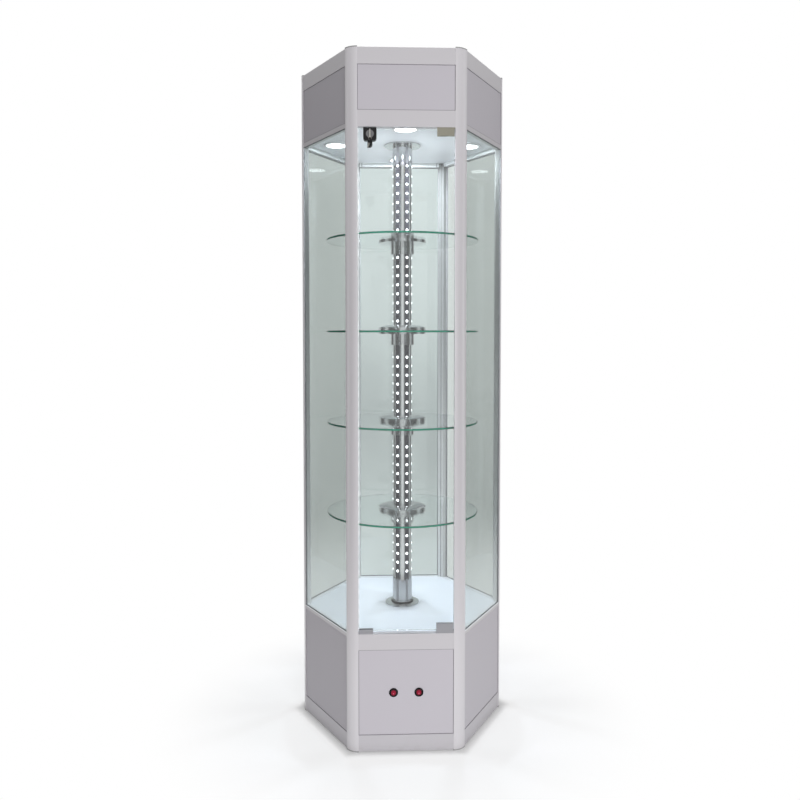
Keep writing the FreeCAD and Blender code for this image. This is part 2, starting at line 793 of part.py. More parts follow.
def make_board(label, bottom, holes=()):
    """A hexagonal board with its corners cut to clear the posts, and round holes."""
    thickness = cell("board_thickness")
    sides = DOCUMENT.addObject("Part::Prism", label + "_sides")
    bind(sides, "Circumradius", board_apothem / COS30)
    corners = DOCUMENT.addObject("Part::Prism", label + "_corners")
    bind(corners, "Circumradius", board_corner_reach / COS30)
    for prism in (sides, corners):
        prism.Polygon = FACE_COUNT
        bind(prism, "Height", thickness)
    move_to(sides, 0, 0, bottom)
    move_to(corners, 0, 0, bottom, Rotation(Vector(0, 0, 1), FACE_STEP / 2))
    board = DOCUMENT.addObject("Part::MultiCommon", label + "_outline")
    board.Shapes = [sides, corners]
    if holes:
        cutters = [add_cylinder("%s_hole_%d" % (label, number), radius, bottom - OVERSHOOT,
                                thickness + OVERSHOOT * 2, x, y)
                   for number, (x, y, radius) in enumerate(holes, 1)]
        cutter = cutters[0]
        if len(cutters) > 1:
            cutter = DOCUMENT.addObject("Part::MultiFuse", label + "_holes")
            cutter.Shapes = cutters
        cut = DOCUMENT.addObject("Part::Cut", label)
        cut.Base = board
        cut.Tool = cutter
        board = cut
    board.Label = label
    SUB_PARTS.append(board)


def downlight_places():
    """Centres of the four downlights: front, right, rear and left of the column."""
    reach = downlight_circle
    return [(0, -reach), (reach, 0), (0, reach), (-reach, 0)]


def make_boards():
    """Floor, deck, ceiling and roof."""
    thickness = cell("board_thickness")
    make_board("floor_board", cell("floor_board_level") - thickness)
    spindle_hole = cell("spindle_collar_radius") + cell("spindle_hole_play")
    make_board("deck_board", deck_underside, [(0, 0, spindle_hole)])
    bush_hole = (cell("column_radius") + cell("bush_play") + cell("bush_sleeve_wall")
                 + cell("bush_board_play"))
    light_hole = cell("downlight_can_radius") + cell("downlight_can_play")
    make_board("ceiling_board", ceiling,
               [(0, 0, bush_hole)] + [(x, y, light_hole) for x, y in downlight_places()])
    make_board("roof_board", frame_top - cell("roof_recess") - thickness)


def make_brackets():
    """Angle brackets on the inner facet of each post, under or over each board."""
    body = new_body("board_brackets")
    thickness = cell("board_thickness")
    gauge, leg = cell("bracket_gauge"), cell("bracket_leg")
    back = facet_reach - gauge
    tip = facet_reach - leg
    pads = []
    for seat, way in (
            (cell("floor_board_level") - thickness, -1),
            (deck_underside, -1),
            (ceiling + thickness, 1),
            (frame_top - cell("roof_recess") - thickness, -1)):
        corners = [(tip, seat), (facet_reach, seat), (facet_reach, seat + leg * way),
                   (back, seat + leg * way), (back, seat + gauge * way), (tip, seat + gauge * way)]
        section = new_sketch(body, "XZ_Plane")
        draw_outline(section, corners)
        pads.append(add_pad(body, section, cell("bracket_width"), symmetric=True))
    repeat_around(body, pads, FACE_COUNT)


# ---------------------------------------------------------------- door

door_left = cell("door_side_gap") - opening_half
door_right = opening_half - cell("door_side_gap")
door_bottom = cell("deck_edge_level") + cell("door_bottom_gap")
door_top = door_head - cell("door_top_gap")
door_back = cell("door_setback") + cell("door_thickness")

hinge_right = opening_half - cell("hinge_end_gap")
hinge_left = hinge_right - cell("hinge_width")
hinge_block_left = hinge_right - cell("hinge_block")
pivot_x = opening_half - cell("pivot_inset")
pivot_depth = cell("door_setback") + cell("door_thickness") / 2
hinge_front = pivot_depth - cell("hinge_thickness") / 2
hinge_back = pivot_depth + cell("hinge_thickness") / 2

lock_centre_x = cell("lock_inset") + cell("lock_width") / 2 - opening_half
lock_top = door_top + cell("lock_rise")
lock_bottom = lock_top - cell("lock_height")
lock_centre_z = lock_bottom + cell("lock_height") / 2


class HingeEnd:
    """Levels of the pivot at one end of the door; up is +1 at the bottom and -1 at the top."""

    def __init__(self, rail_level, plate_height, glass_edge, up):
        self.up = up
        self.rail_level = rail_level
        self.plate_face = rail_level + plate_height * up
        self.patch_start = self.plate_face + cell("hinge_play") * up
        self.patch_end = self.patch_start + cell("hinge_height") * up
        self.glass_edge = glass_edge
        self.pin_end = self.plate_face + cell("pivot_pin_length") * up
        self.bore_end = self.pin_end + cell("hinge_play") * up * 2


lower_end = HingeEnd(cell("deck_edge_level"), cell("lower_pivot_height"), door_bottom, 1)
upper_end = HingeEnd(door_head, cell("upper_pivot_height"), door_top, -1)


def make_door_glass():
    """The door glass, notched at both hinge corners and bored for the lock."""
    body = new_body("door_glass")
    notch = hinge_block_left - cell("hinge_play")
    low = lower_end.patch_end + cell("hinge_play")
    high = upper_end.patch_end - cell("hinge_play")
    outline = new_sketch(body, "XZ_Plane", door_plane(door_back))
    draw_outline(outline, [
        (door_left, door_bottom), (notch, door_bottom), (notch, low), (door_right, low),
        (door_right, high), (notch, high), (notch, door_top), (door_left, door_top)])
    draw_circle(outline, lock_centre_x, lock_centre_z,
                cell("barrel_radius") + cell("barrel_glass_play"))
    add_pad(body, outline, cell("door_thickness"))


def make_hinge_patch(label, end):
    """A patch that clasps the notched corner of the glass and turns on the pivot pin."""
    body = new_body(label)
    low, high = sorted((end.patch_start, end.patch_end), key=lambda level: level.value)
    block = new_sketch(body, "XZ_Plane", door_plane(hinge_back))
    draw_rectangle(block, hinge_left, hinge_right, low, high)
    add_pad(body, block, cell("hinge_thickness"))

    slot_floor = end.glass_edge - cell("hinge_play") * end.up
    open_side = end.patch_end + size(end.up)
    slot = new_sketch(body, "YZ_Plane", (0, 0, hinge_left - OVERSHOOT))
    slot_low, slot_high = sorted((slot_floor, open_side), key=lambda level: level.value)
    draw_rectangle(slot, at_depth(cell("door_setback") - cell("hinge_play")),
                   at_depth(door_back + cell("hinge_play")), slot_low, slot_high)
    add_pocket(body, slot, hinge_block_left - hinge_left + OVERSHOOT, along_normal=True)

    bore = new_sketch(body, "XY_Plane", (0, 0, end.patch_start))
    draw_circle(bore, pivot_x, at_depth(pivot_depth),
                cell("pivot_pin_radius") + cell("pivot_pin_play"))
    depth = (end.bore_end - end.patch_start) * end.up
    add_pocket(body, bore, depth, along_normal=end.up > 0)


def make_pivot(label, end):
    """A pivot plate on the rail with its pin."""
    body = new_body(label)
    low, high = sorted((end.rail_level, end.plate_face), key=lambda level: level.value)
    plate = new_sketch(body, "XY_Plane", (0, 0, low))
    draw_rectangle(plate, hinge_left, opening_half, at_depth(hinge_front + cell("rail_setback")),
                   at_depth(hinge_back))
    add_pad(body, plate, high - low)
    pin_low = end.plate_face if end.up > 0 else end.pin_end
    pin = new_sketch(body, "XY_Plane", (0, 0, pin_low))
    draw_circle(pin, pivot_x, at_depth(pivot_depth), cell("pivot_pin_radius"))
    add_pad(body, pin, cell("pivot_pin_length"))


def draw_lock_plate(sketch):
    """The lock case seen from the front: square above, rounded below."""
    left = lock_centre_x - cell("lock_width") / 2
    right = lock_centre_x + cell("lock_width") / 2
    corner = cell("lock_corner")
    draw_outline(sketch, [
        (left, lock_top), (left, lock_bottom + corner), (left + corner, lock_bottom, corner),
        (right - corner, lock_bottom), (right, lock_bottom + corner, corner), (right, lock_top)])


def make_lock_case():
    """The lock case, which clasps the top edge of the glass in front and behind."""
    body = new_body("lock_case")
    front = new_sketch(body, "XZ_Plane", door_plane(door_back + cell("lock_back")))
    draw_lock_plate(front)
    whole = cell("door_thickness") + cell("lock_back") + cell("lock_front")
    add_pad(body, front, whole)
    slot = new_sketch(body, "YZ_Plane", (0, 0, lock_centre_x))
    slack = cell("lock_slack")
    draw_rectangle(slot, at_depth(cell("door_setback") - slack), at_depth(door_back + slack),
                   lock_bottom - OVERSHOOT, door_top + slack)
    add_pocket(body, slot, cell("lock_width") + OVERSHOOT * 2, symmetric=True)
    bore = new_sketch(body, "XZ_Plane", door_plane(door_back + cell("lock_back") + OVERSHOOT))
    draw_circle(bore, lock_centre_x, lock_centre_z, cell("barrel_radius") + cell("barrel_play"))
    add_pocket(body, bore, whole + OVERSHOOT * 2, along_normal=True)


barrel_face = cell("lock_front") + cell("barrel_lip") + cell("barrel_play") - cell("door_setback")
cam_front = cell("post_depth") + cell("cam_gap")
cam_back = cam_front + cell("cam_thickness")
FACING_FRONT = Rotation(Vector(1, 0, 0), 90)
HANGING = Rotation(Vector(0, 0, 1), -90)


def place_on_lock_axis(body, turn=Rotation()):
    """Put a sub-part on the lock's axis: its own Z points out of the front, its Y up."""
    move_to(body, lock_centre_x, -face_distance, lock_centre_z, FACING_FRONT.multiply(turn))


def make_lock_barrel():
    """The turning barrel: front lip, body and tail, with a slot for the key."""
    body = new_body("lock_barrel")
    half = new_sketch(body, "XZ_Plane")
    body_radius, tail_radius = cell("barrel_radius"), cell("barrel_tail_radius")
    lip_radius = cell("barrel_lip_radius")
    lip_back = barrel_face - cell("barrel_lip")
    tail_end = -cam_back - cell("cam_tail")
    draw_outline(half, [
        (0, tail_end), (tail_radius, tail_end), (tail_radius, -cam_front), (body_radius, -cam_front),
        (body_radius, lip_back), (lip_radius, lip_back), (lip_radius, barrel_face), (0, barrel_face)])
    add_revolution(body, half)
    keyway = new_sketch(body, "XY_Plane", (0, 0, barrel_face))
    half_gauge = cell("key_gauge") / 2 + cell("barrel_play")
    half_blade = cell("key_blade_width") / 2 + cell("barrel_play")
    draw_rectangle(keyway, -half_gauge, half_gauge, -half_blade, half_blade)
    add_pocket(body, keyway, cell("key_blade_depth") + cell("barrel_lip"))
    place_on_lock_axis(body)


def make_lock_cam():
    """The cam, level with the back of the header rail; it hangs down when the lock is open."""
    body = new_body("lock_cam")
    half, tip = cell("cam_width") / 2, cell("cam_length")
    plate = new_sketch(body, "XY_Plane", (0, 0, -cam_back))
    draw_outline(plate, [
        (0, -half, half), (tip - half, -half), (tip, 0, half), (tip - half, half, half),
        (0, half), (-half, 0, half)])
    draw_circle(plate, 0, 0, cell("barrel_tail_radius") + cell("barrel_play"))
    add_pad(body, plate, cell("cam_thickness"))
    place_on_lock_axis(body, HANGING)


def make_lock_key():
    """The key in the barrel: a flat head with a ring hole at its lower end, and a blade."""
    body = new_body("lock_key")
    bow_back = barrel_face + cell("barrel_play")
    bow_front = barrel_face + cell("key_bow_reach")
    bow, blade = cell("key_bow_height") / 2, cell("key_blade_width") / 2
    tip = barrel_face - cell("key_blade_depth")
    corner = cell("key_bow_corner")
    side = new_sketch(body, "YZ_Plane")
    draw_outline(side, [
        (-blade, tip), (blade, tip), (blade, bow_back), (bow, bow_back),
        (bow, bow_front - corner), (bow - corner, bow_front, corner),
        (corner - bow, bow_front), (-bow, bow_front - corner, corner),
        (-bow, bow_back), (-blade, bow_back)])
    draw_circle(side, cell("key_hole_radius") * 2 - bow, (bow_back + bow_front) / 2,
                cell("key_hole_radius"))
    add_pad(body, side, cell("key_gauge"), symmetric=True)
    place_on_lock_axis(body)


def make_strike_and_catch():
    """A steel clip on the free lower corner of the glass, and the magnetic catch below it."""
    gauge, slack, gap = cell("strike_gauge"), cell("lock_slack"), cell("catch_gap")
    left = cell("strike_end_gap") - opening_half
    catch_top = cell("deck_edge_level") + cell("catch_height")
    bottom = catch_top + gap
    top = bottom + cell("strike_height")
    front, back = cell("door_setback") - slack - gauge, door_back + slack + gauge

    clip = new_body("strike_clip")
    section = new_sketch(clip, "YZ_Plane", (0, 0, left))
    seat = door_bottom - slack
    draw_outline(section, [
        (at_depth(front), bottom), (at_depth(back), bottom), (at_depth(back), top),
        (at_depth(back - gauge), top), (at_depth(back - gauge), seat),
        (at_depth(front + gauge), seat), (at_depth(front + gauge), top), (at_depth(front), top)])
    add_pad(clip, section, cell("strike_width"))

    catch = new_body("magnet_catch")
    section = new_sketch(catch, "YZ_Plane", (0, 0, left))
    stop_front = back + gap
    stop_back = stop_front + cell("catch_stop")
    floor = cell("deck_edge_level")
    draw_outline(section, [
        (at_depth(front), floor), (at_depth(stop_back), floor), (at_depth(stop_back), top),
        (at_depth(stop_front), top), (at_depth(stop_front), catch_top), (at_depth(front), catch_top)])
    add_pad(catch, section, cell("strike_width"))


def make_door():
    """Everything on the door, and the pivots and catch that it meets."""
    make_door_glass()
    make_hinge_patch("hinge_patch_bottom", lower_end)
    make_hinge_patch("hinge_patch_top", upper_end)
    make_pivot("hinge_pivot_bottom", lower_end)
    make_pivot("hinge_pivot_top", upper_end)
    make_lock_case()
    make_lock_barrel()
    make_lock_cam()
    make_lock_key()
    make_strike_and_catch()


# ---------------------------------------------------------------- lights and switches

def make_downlights():
    """Four recessed downlights: a rim with its can, and a lens in the rim."""
    face = ceiling - cell("downlight_rim_thickness")
    top = ceiling + cell("downlight_can_height")
    can, lens = cell("downlight_can_radius"), cell("downlight_lens_radius")
    rim = cell("downlight_rim_radius")
    roof = top - (can - lens)

    rims = new_body("downlight_rims")
    section = new_sketch(rims, "XZ_Plane", (downlight_circle, 0, 0))
    draw_outline(section, [
        (lens, face), (rim, face), (rim, ceiling), (can, ceiling), (can, top), (0, top),
        (0, roof), (lens, roof)])
    repeat_around(rims, [add_revolution(rims, section)], DOWNLIGHT_COUNT)

    lenses = new_body("downlight_lenses")
    section = new_sketch(lenses, "XZ_Plane", (downlight_circle, 0, 0))
    draw_rectangle(section, 0, lens - cell("downlight_lens_play"), face,
                   face + cell("downlight_lens_thickness"))
    repeat_around(lenses, [add_revolution(lenses, section)], DOWNLIGHT_COUNT)


switch_face = cell("groove_lip") + (cell("groove_width") - cell("panel_thickness")) / 2
bezel_face = switch_face - cell("switch_bezel_thickness")
rocker_axis_depth = (bezel_face + cell("rocker_recess")
                     + cell("rocker_front") * cosine(cell("rocker_tilt"))
                     - cell("rocker_radius") * sine(cell("rocker_tilt")))


def draw_switch_circles(sketch, radius):
    """One circle for each of the two switches."""
    for side in (-1, 1):
        draw_circle(sketch, cell("switch_spacing") / 2 * side, cell("switch_level"), radius)


def make_switch_housings():
    """Two round switch housings in the front panel, each with a well and bores for the pins."""
    body = new_body("switch_housings")
    bezel = new_sketch(body, "XZ_Plane", door_plane(switch_face))
    draw_switch_circles(bezel, cell("switch_bezel_radius"))
    add_pad(body, bezel, cell("switch_bezel_thickness"))
    barrel = new_sketch(body, "XZ_Plane", door_plane(switch_face + cell("switch_barrel_depth")))
    draw_switch_circles(barrel, cell("switch_barrel_radius"))
    add_pad(body, barrel, cell("switch_barrel_depth"))
    well = new_sketch(body, "XZ_Plane", door_plane(bezel_face))
    draw_switch_circles(well, cell("switch_well_radius"))
    add_pocket(body, well, cell("switch_well_depth"))
    bores = new_sketch(body, "YZ_Plane")
    draw_circle(bores, at_depth(rocker_axis_depth), cell("switch_level"),
                cell("rocker_pin_radius") + cell("rocker_pin_play"))
    add_pocket(body, bores, cell("switch_spacing") + cell("switch_barrel_radius") * 2 + OVERSHOOT * 2,
               symmetric=True)


def make_rocker(label, side):
    """A round rocker with a shallow V across its face, on two pins, tipped to its off side."""
    body = new_body(label)
    radius, front = cell("rocker_radius"), cell("rocker_front")
    disc = new_sketch(body, "XZ_Plane", (0, 0, -cell("rocker_back")))
    draw_circle(disc, 0, 0, radius)
    add_pad(body, disc, cell("rocker_back") + front)
    pins = new_sketch(body, "YZ_Plane")
    draw_circle(pins, 0, 0, cell("rocker_pin_radius"))
    add_pad(body, pins, (cell("switch_barrel_radius") - cell("rocker_pin_end_gap")) * 2, symmetric=True)
    dip = new_sketch(body, "YZ_Plane")
    draw_outline(dip, [(-front, -radius), (cell("rocker_dip") - front, 0), (-front, radius)])
    add_pocket(body, dip, radius * 2 + OVERSHOOT * 2, symmetric=True)
    move_to(body, cell("switch_spacing") / 2 * side, at_depth(rocker_axis_depth), cell("switch_level"),
            Rotation(Vector(-1, 0, 0), cell("rocker_tilt").value))
    bind(body, ".Placement.Rotation.Angle", cell("rocker_tilt"))


# ---------------------------------------------------------------- column

def make_column_tube():
    """The column tube with a flat groove for each light strip."""
    body = new_body("column_tube")
    ring = new_sketch(body, "XY_Plane", (0, 0, column_bottom))
    draw_circle(ring, 0, 0, cell("column_radius"))
    draw_circle(ring, 0, 0, column_bore)
    add_pad(body, ring, column_top - column_bottom)
    groove = new_sketch(body, "YZ_Plane", (0, 0, strip_seat))
    half = cell("strip_groove_width") / 2
    draw_rectangle(groove, -half, half, strip_bottom, strip_top)
    cut = add_pocket(body, groove, cell("strip_groove_depth") + OVERSHOOT, along_normal=True)
    repeat_around(body, [cut], cell("strip_count"))
    turn_to(body, cell("strip_phase"))


def make_led_strips():
    """The light strips in the grooves of the tube."""
    body = new_body("led_strips")
    outline = new_sketch(body, "YZ_Plane", (0, 0, strip_seat))
    half = cell("strip_width") / 2
    draw_rectangle(outline, -half, half, strip_bottom + cell("strip_end_gap"),
                   strip_top - cell("strip_end_gap"))
    strip = add_pad(body, outline, cell("strip_thickness"))
    repeat_around(body, [strip], cell("strip_count"))
    turn_to(body, cell("strip_phase"))


def make_shelf(number):
    """A round glass shelf with a bore for the tube and small polished bevels."""
    body = new_body("shelf_glass_%d" % number)
    low = shelf_level(number) - cell("shelf_thickness") / 2
    high = low + cell("shelf_thickness")
    rim, edge = cell("shelf_radius"), cell("shelf_edge")
    section = new_sketch(body, "XZ_Plane")
    draw_outline(section, [
        (shelf_bore, low), (rim - edge, low), (rim, low + edge), (rim, high - edge),
        (rim - edge, high), (shelf_bore, high)])
    add_revolution(body, section)


def make_shelf_collars():
    """Under each shelf, a round plate with a sleeve below it."""
    body = new_body("shelf_collars")
    seat = shelf_level(1) - cell("shelf_thickness") / 2
    plate, sleeve = cell("plate_radius"), cell("collar_radius")
    section = new_sketch(body, "XZ_Plane")
    draw_outline(section, [
        (sleeve_bore, seat - cell("collar_height")), (sleeve, seat - cell("collar_height")),
        (sleeve, seat - cell("plate_thickness")), (plate, seat - cell("plate_thickness")),
        (plate, seat), (sleeve_bore, seat)])
    repeat_upwards(body, [add_revolution(body, section)], SHELF_COUNT, cell("shelf_pitch"))


def make_shelf_caps():
    """On each shelf, a domed plate with an upright rim, hollow below."""
    body = new_body("shelf_caps")
    seat = shelf_level(1) + cell("shelf_thickness") / 2
    rim, shoulder, wall = cell("plate_radius"), cell("cap_shoulder_radius"), cell("cap_wall")
    hollow_top = seat + cell("cap_rim") - wall
    hub = sleeve_bore + cell("cap_hub_wall")
    section = new_sketch(body, "XZ_Plane")
    draw_outline(section, [
        (sleeve_bore, seat), (hub, seat), (hub, hollow_top), (rim - wall, hollow_top),
        (rim - wall, seat), (rim, seat), (rim, seat + cell("cap_rim")),
        (shoulder, seat + cell("cap_height"), cell("cap_dome_radius")),
        (sleeve_bore, seat + cell("cap_height"))])
    repeat_upwards(body, [add_revolution(body, section)], SHELF_COUNT, cell("shelf_pitch"))


def make_column_foot():
    """The foot under the tube: a low conical plate, a collar and a spigot on the spindle."""
    body = new_body("column_foot")
    low = deck + cell("foot_gap")
    bore = cell("spindle_radius") + cell("foot_bore_play")
    spigot = column_bore - cell("sleeve_play")
    collar, rim = cell("foot_collar_radius"), cell("foot_radius")
    collar_top = deck + cell("foot_collar_height")
    section = new_sketch(body, "XZ_Plane")
    draw_outline(section, [
        (bore, low), (rim, low), (rim, low + cell("foot_rim")), (collar, column_bottom),
        (collar, collar_top), (sleeve_bore, collar_top), (sleeve_bore, column_bottom),
        (spigot, column_bottom), (spigot, foot_top), (bore, foot_top)])
    add_revolution(body, section)


def make_ceiling_bush():
    """The bush that steadies the top of the tube, with a flange under the ceiling board."""
    body = new_body("ceiling_bush")
    bore = cell("column_radius") + cell("bush_play")
    sleeve = bore + cell("bush_sleeve_wall")
    flange = cell("bush_radius")
    top = ceiling + cell("board_thickness")
    section = new_sketch(body, "XZ_Plane")
    draw_outline(section, [
        (bore, ceiling - cell("bush_thickness")), (flange, ceiling - cell("bush_thickness")),
        (flange, ceiling), (sleeve, ceiling), (sleeve, top), (bore, top)])
    add_revolution(body, section)


def make_column():
    """Tube, light strips, shelves with their collars and caps, foot and ceiling bush."""
    make_column_tube()
    make_led_strips()
    for number in range(1, SHELF_COUNT + 1):
        make_shelf(number)
    make_shelf_collars()
    make_shelf_caps()
    make_column_foot()
    make_ceiling_bush()


# ---------------------------------------------------------------- drive

def make_drive_spindle():
    """The spindle: a thrust collar in the deck, and a socket for the motor shaft below."""
    body = new_body("drive_spindle")
    radius, collar = cell("spindle_radius"), cell("spindle_collar_radius")
    socket = cell("motor_shaft_radius") + cell("running_play")
    thrust = deck_underside + cell("thrust_gap")
    foot = deck + cell("foot_gap")
    bottom = spindle_bottom
    roof = bottom + cell("spindle_socket_depth")
    section = new_sketch(body, "XZ_Plane")
    draw_outline(section, [
        (socket, bottom), (radius, bottom), (radius, thrust), (collar, thrust), (collar, foot),
        (radius, foot), (radius, foot_top), (0, foot_top), (0, roof), (socket, roof)])
    add_revolution(body, section)


def make_lower_bearing():
    """A flanged bearing under the deck board, with four bolt holes."""
    body = new_body("lower_bearing")
    bore = cell("spindle_radius") + cell("running_play")
    half = cell("bearing_flange") / 2
    flange = new_sketch(body, "XY_Plane", (0, 0, deck_underside - cell("bearing_flange_thickness")))
    draw_rectangle(flange, -half, half, -half, half)
    draw_circle(flange, 0, 0, bore)
    bolt = cell("bearing_bolt_spacing") / 2
    for x, y in ((-1, -1), (1, -1), (1, 1), (-1, 1)):
        draw_circle(flange, bolt * x, bolt * y, cell("bearing_bolt_radius"))
    add_pad(body, flange, cell("bearing_flange_thickness"))
    boss = new_sketch(body, "XY_Plane", (0, 0, bearing_bottom))
    draw_circle(boss, 0, 0, cell("bearing_boss_radius"))
    draw_circle(boss, 0, 0, bore)
    add_pad(body, boss, cell("bearing_height") - cell("bearing_flange_thickness"))


def make_slip_ring():
    """The slip ring that feeds the light strips, under the bearing."""
    body = new_body("slip_ring")
    ring = new_sketch(body, "XY_Plane", (0, 0, bearing_bottom - cell("slip_ring_height")))
    draw_circle(ring, 0, 0, cell("slip_ring_radius"))
    draw_circle(ring, 0, 0, cell("spindle_radius") + cell("slip_ring_play"))
    add_pad(body, ring, cell("slip_ring_height"))


def make_motor_bracket():
    """A folded hat bracket that hangs the gear motor under the deck."""
    body = new_body("motor_bracket")
    sheet = cell("bracket_sheet")
    inner = cell("bracket_inner_width") / 2
    outer = inner + sheet
    tip = outer + cell("bracket_flange")
    top, floor = deck_underside, bracket_bottom + sheet
    hat = new_sketch(body, "XZ_Plane")
    draw_outline(hat, [
        (-outer, bracket_bottom), (outer, bracket_bottom), (outer, top - sheet), (tip, top - sheet),
        (tip, top), (inner, top), (inner, floor), (-inner, floor), (-inner, top), (-tip, top),
        (-tip, top - sheet), (-outer, top - sheet)])
    add_pad(body, hat, cell("bracket_depth"), symmetric=True)
    hole = new_sketch(body, "XY_Plane", (0, 0, floor))
    draw_circle(hole, 0, 0, cell("bracket_hole_radius"))
    add_pocket(body, hole, sheet + OVERSHOOT)


def draw_rounded_square(sketch, half, corner):
    """A square with rounded corners about the origin."""
    flat = half - corner
    draw_outline(sketch, [
        (-flat, -half, corner), (flat, -half), (half, -flat, corner), (half, flat),
        (flat, half, corner), (-flat, half), (-half, flat, corner), (-half, -flat)])


def make_gear_motor():
    """The gear motor: a gearbox with a round motor below it, and a bore for its shaft."""
    body = new_body("gear_motor")
    gearbox_bottom = bracket_bottom - cell("gearbox_height")
    gearbox = new_sketch(body, "XY_Plane", (0, 0, gearbox_bottom))
    draw_rounded_square(gearbox, cell("gearbox_width") / 2, cell("gearbox_corner"))
    add_pad(body, gearbox, cell("gearbox_height"))
    motor = new_sketch(body, "XY_Plane", (0, 0, gearbox_bottom - cell("motor_height")))
    draw_circle(motor, 0, 0, cell("motor_radius"))
    add_pad(body, motor, cell("motor_height"))
    bore = new_sketch(body, "XY_Plane", (0, 0, bracket_bottom))
    draw_circle(bore, 0, 0, cell("motor_shaft_radius") + cell("running_play"))
    add_pocket(body, bore, cell("motor_shaft_seat") + cell("thrust_gap"))


def make_motor_shaft():
    """The output shaft, from the gearbox up into the socket of the spindle."""
    body = new_body("motor_shaft")
    bottom = bracket_bottom - cell("motor_shaft_seat")
    top = spindle_bottom + cell("spindle_socket_depth") - cell("motor_shaft_end_play")
    section = new_sketch(body, "XY_Plane", (0, 0, bottom))
    draw_circle(section, 0, 0, cell("motor_shaft_radius"))
    add_pad(body, section, top - bottom)


def make_led_driver():
    """The light driver on the floor board: a box with a slotted tab at each end."""
    body = new_body("led_driver")
    seat, y = cell("floor_board_level"), cell("driver_offset")
    length, width = cell("driver_length") / 2, cell("driver_width") / 2
    reach = length + cell("driver_tab")
    case = new_sketch(body, "XY_Plane", (0, y, seat))
    draw_rectangle(case, -length, length, -width, width)
    add_pad(body, case, cell("driver_height"))
    tabs = new_sketch(body, "XY_Plane", (0, y, seat))
    draw_rectangle(tabs, -reach, reach, -width, width)
    for side in (-1, 1):
        draw_circle(tabs, (reach - cell("driver_tab") / 2) * side, 0, cell("driver_hole_radius"))
    add_pad(body, tabs, cell("driver_tab_gauge"))


def make_cable_grommet():
    """The rubber grommet in the rear panel, with a lip on each face of the panel."""
    body = new_body("cable_grommet")
    outside = -switch_face
    inside = outside - cell("panel_thickness")
    bore, lip = cell("grommet_bore_radius"), cell("grommet_flange_radius")
    neck = cell("grommet_hole_radius") - cell("grommet_play")
    section = new_sketch(body, "XZ_Plane")
    draw_outline(section, [
        (bore, inside - cell("grommet_flange")), (lip, inside - cell("grommet_flange")),
        (lip, inside), (neck, inside), (neck, outside), (lip, outside),
        (lip, outside + cell("grommet_flange")), (bore, outside + cell("grommet_flange"))])
    add_revolution(body, section)
    move_to(body, 0, face_distance, cell("grommet_level"), Rotation(Vector(-1, 0, 0), 90))


def make_drive():
    """Spindle, bearing, slip ring, bracket, motor, shaft, driver and grommet."""
    make_drive_spindle()
    make_lower_bearing()
    make_slip_ring()
    make_motor_bracket()
    make_gear_motor()
    make_motor_shaft()
    make_led_driver()
    make_cable_grommet()


# ---------------------------------------------------------------- checks and files

def check_document():
    """Stop if a feature failed, or a sub-part has no valid solid."""
    for item in DOCUMENT.Objects:
        if "Invalid" in item.State or "Error" in item.State:
            raise RuntimeError("%s: failed, %s" % (item.Label, item.State))
    for part in SUB_PARTS:
        if part.Shape.isNull() or not part.Shape.Solids:
            raise RuntimeError("%s: has no solid" % part.Label)
        if not part.Shape.isValid():
            raise RuntimeError("%s: its shape is not valid" % part.Label)


def write_parts():
    """Write one STEP file for each sub-part, named after it."""
    os.makedirs("parts", exist_ok=True)
    for part in SUB_PARTS:
        part.Shape.exportStep("parts/%s.step" % part.Label)
        print("%-24s %3d solids %12.0f mm3" % (part.Label, len(part.Shape.Solids), part.Shape.Volume))


make_frame()
make_panes()
make_panels()
make_boards()
make_brackets()
make_door()
make_downlights()
make_switch_housings()
make_rocker("light_rocker", -1)
make_rocker("motor_rocker", 1)
make_column()
make_drive()
DOCUMENT.recompute()
check_document()
write_parts()
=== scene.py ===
"""Studio scene of a revolving glass display cabinet, dressed over its solid frame.

Every solid of the frame keeps its shape and place and takes the finish of its real piece. What is
too fine for the solids is added here: the column's light dots, wire covers and foot ring, screws,
glazing seals, panel joints, the door's edge strip, and the spare key on its ring. Lengths are
metres, +Z is up and the door faces -Y.
"""
import logging
import math
from collections.abc import Iterable
from dataclasses import dataclass, field
from enum import Enum
from functools import cache
from typing import Any

import bmesh
import bpy
from mathutils import Matrix, Vector


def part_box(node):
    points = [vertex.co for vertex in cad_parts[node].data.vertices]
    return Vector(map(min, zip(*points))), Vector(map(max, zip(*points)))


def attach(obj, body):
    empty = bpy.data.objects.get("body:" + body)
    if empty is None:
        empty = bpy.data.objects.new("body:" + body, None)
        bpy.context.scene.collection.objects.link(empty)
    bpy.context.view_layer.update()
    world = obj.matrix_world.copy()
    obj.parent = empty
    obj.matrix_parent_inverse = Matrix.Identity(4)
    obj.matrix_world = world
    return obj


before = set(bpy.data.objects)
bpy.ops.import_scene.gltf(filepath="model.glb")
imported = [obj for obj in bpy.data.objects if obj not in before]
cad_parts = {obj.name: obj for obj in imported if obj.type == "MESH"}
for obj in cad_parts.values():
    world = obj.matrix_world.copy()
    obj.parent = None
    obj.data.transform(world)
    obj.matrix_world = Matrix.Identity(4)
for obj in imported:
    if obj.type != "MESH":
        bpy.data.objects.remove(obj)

LOG = logging.getLogger("display_cabinet")
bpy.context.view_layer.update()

Colour = tuple[float, float, float]
Point = tuple[float, float, float]
Pair = tuple[float, float]

SIXTH = math.radians(60)
DOT_PITCH = 0.0283
WELD_DISTANCE = 1e-7


@dataclass(frozen=True)
class Turns:
    """Places round the upright axis, at angles in degrees."""

    count: int
    first: float
    step: float

    def angles(self) -> list[float]:
        """The angle of each place, in radians."""
        return [math.radians(self.first + self.step * number) for number in range(self.count)]


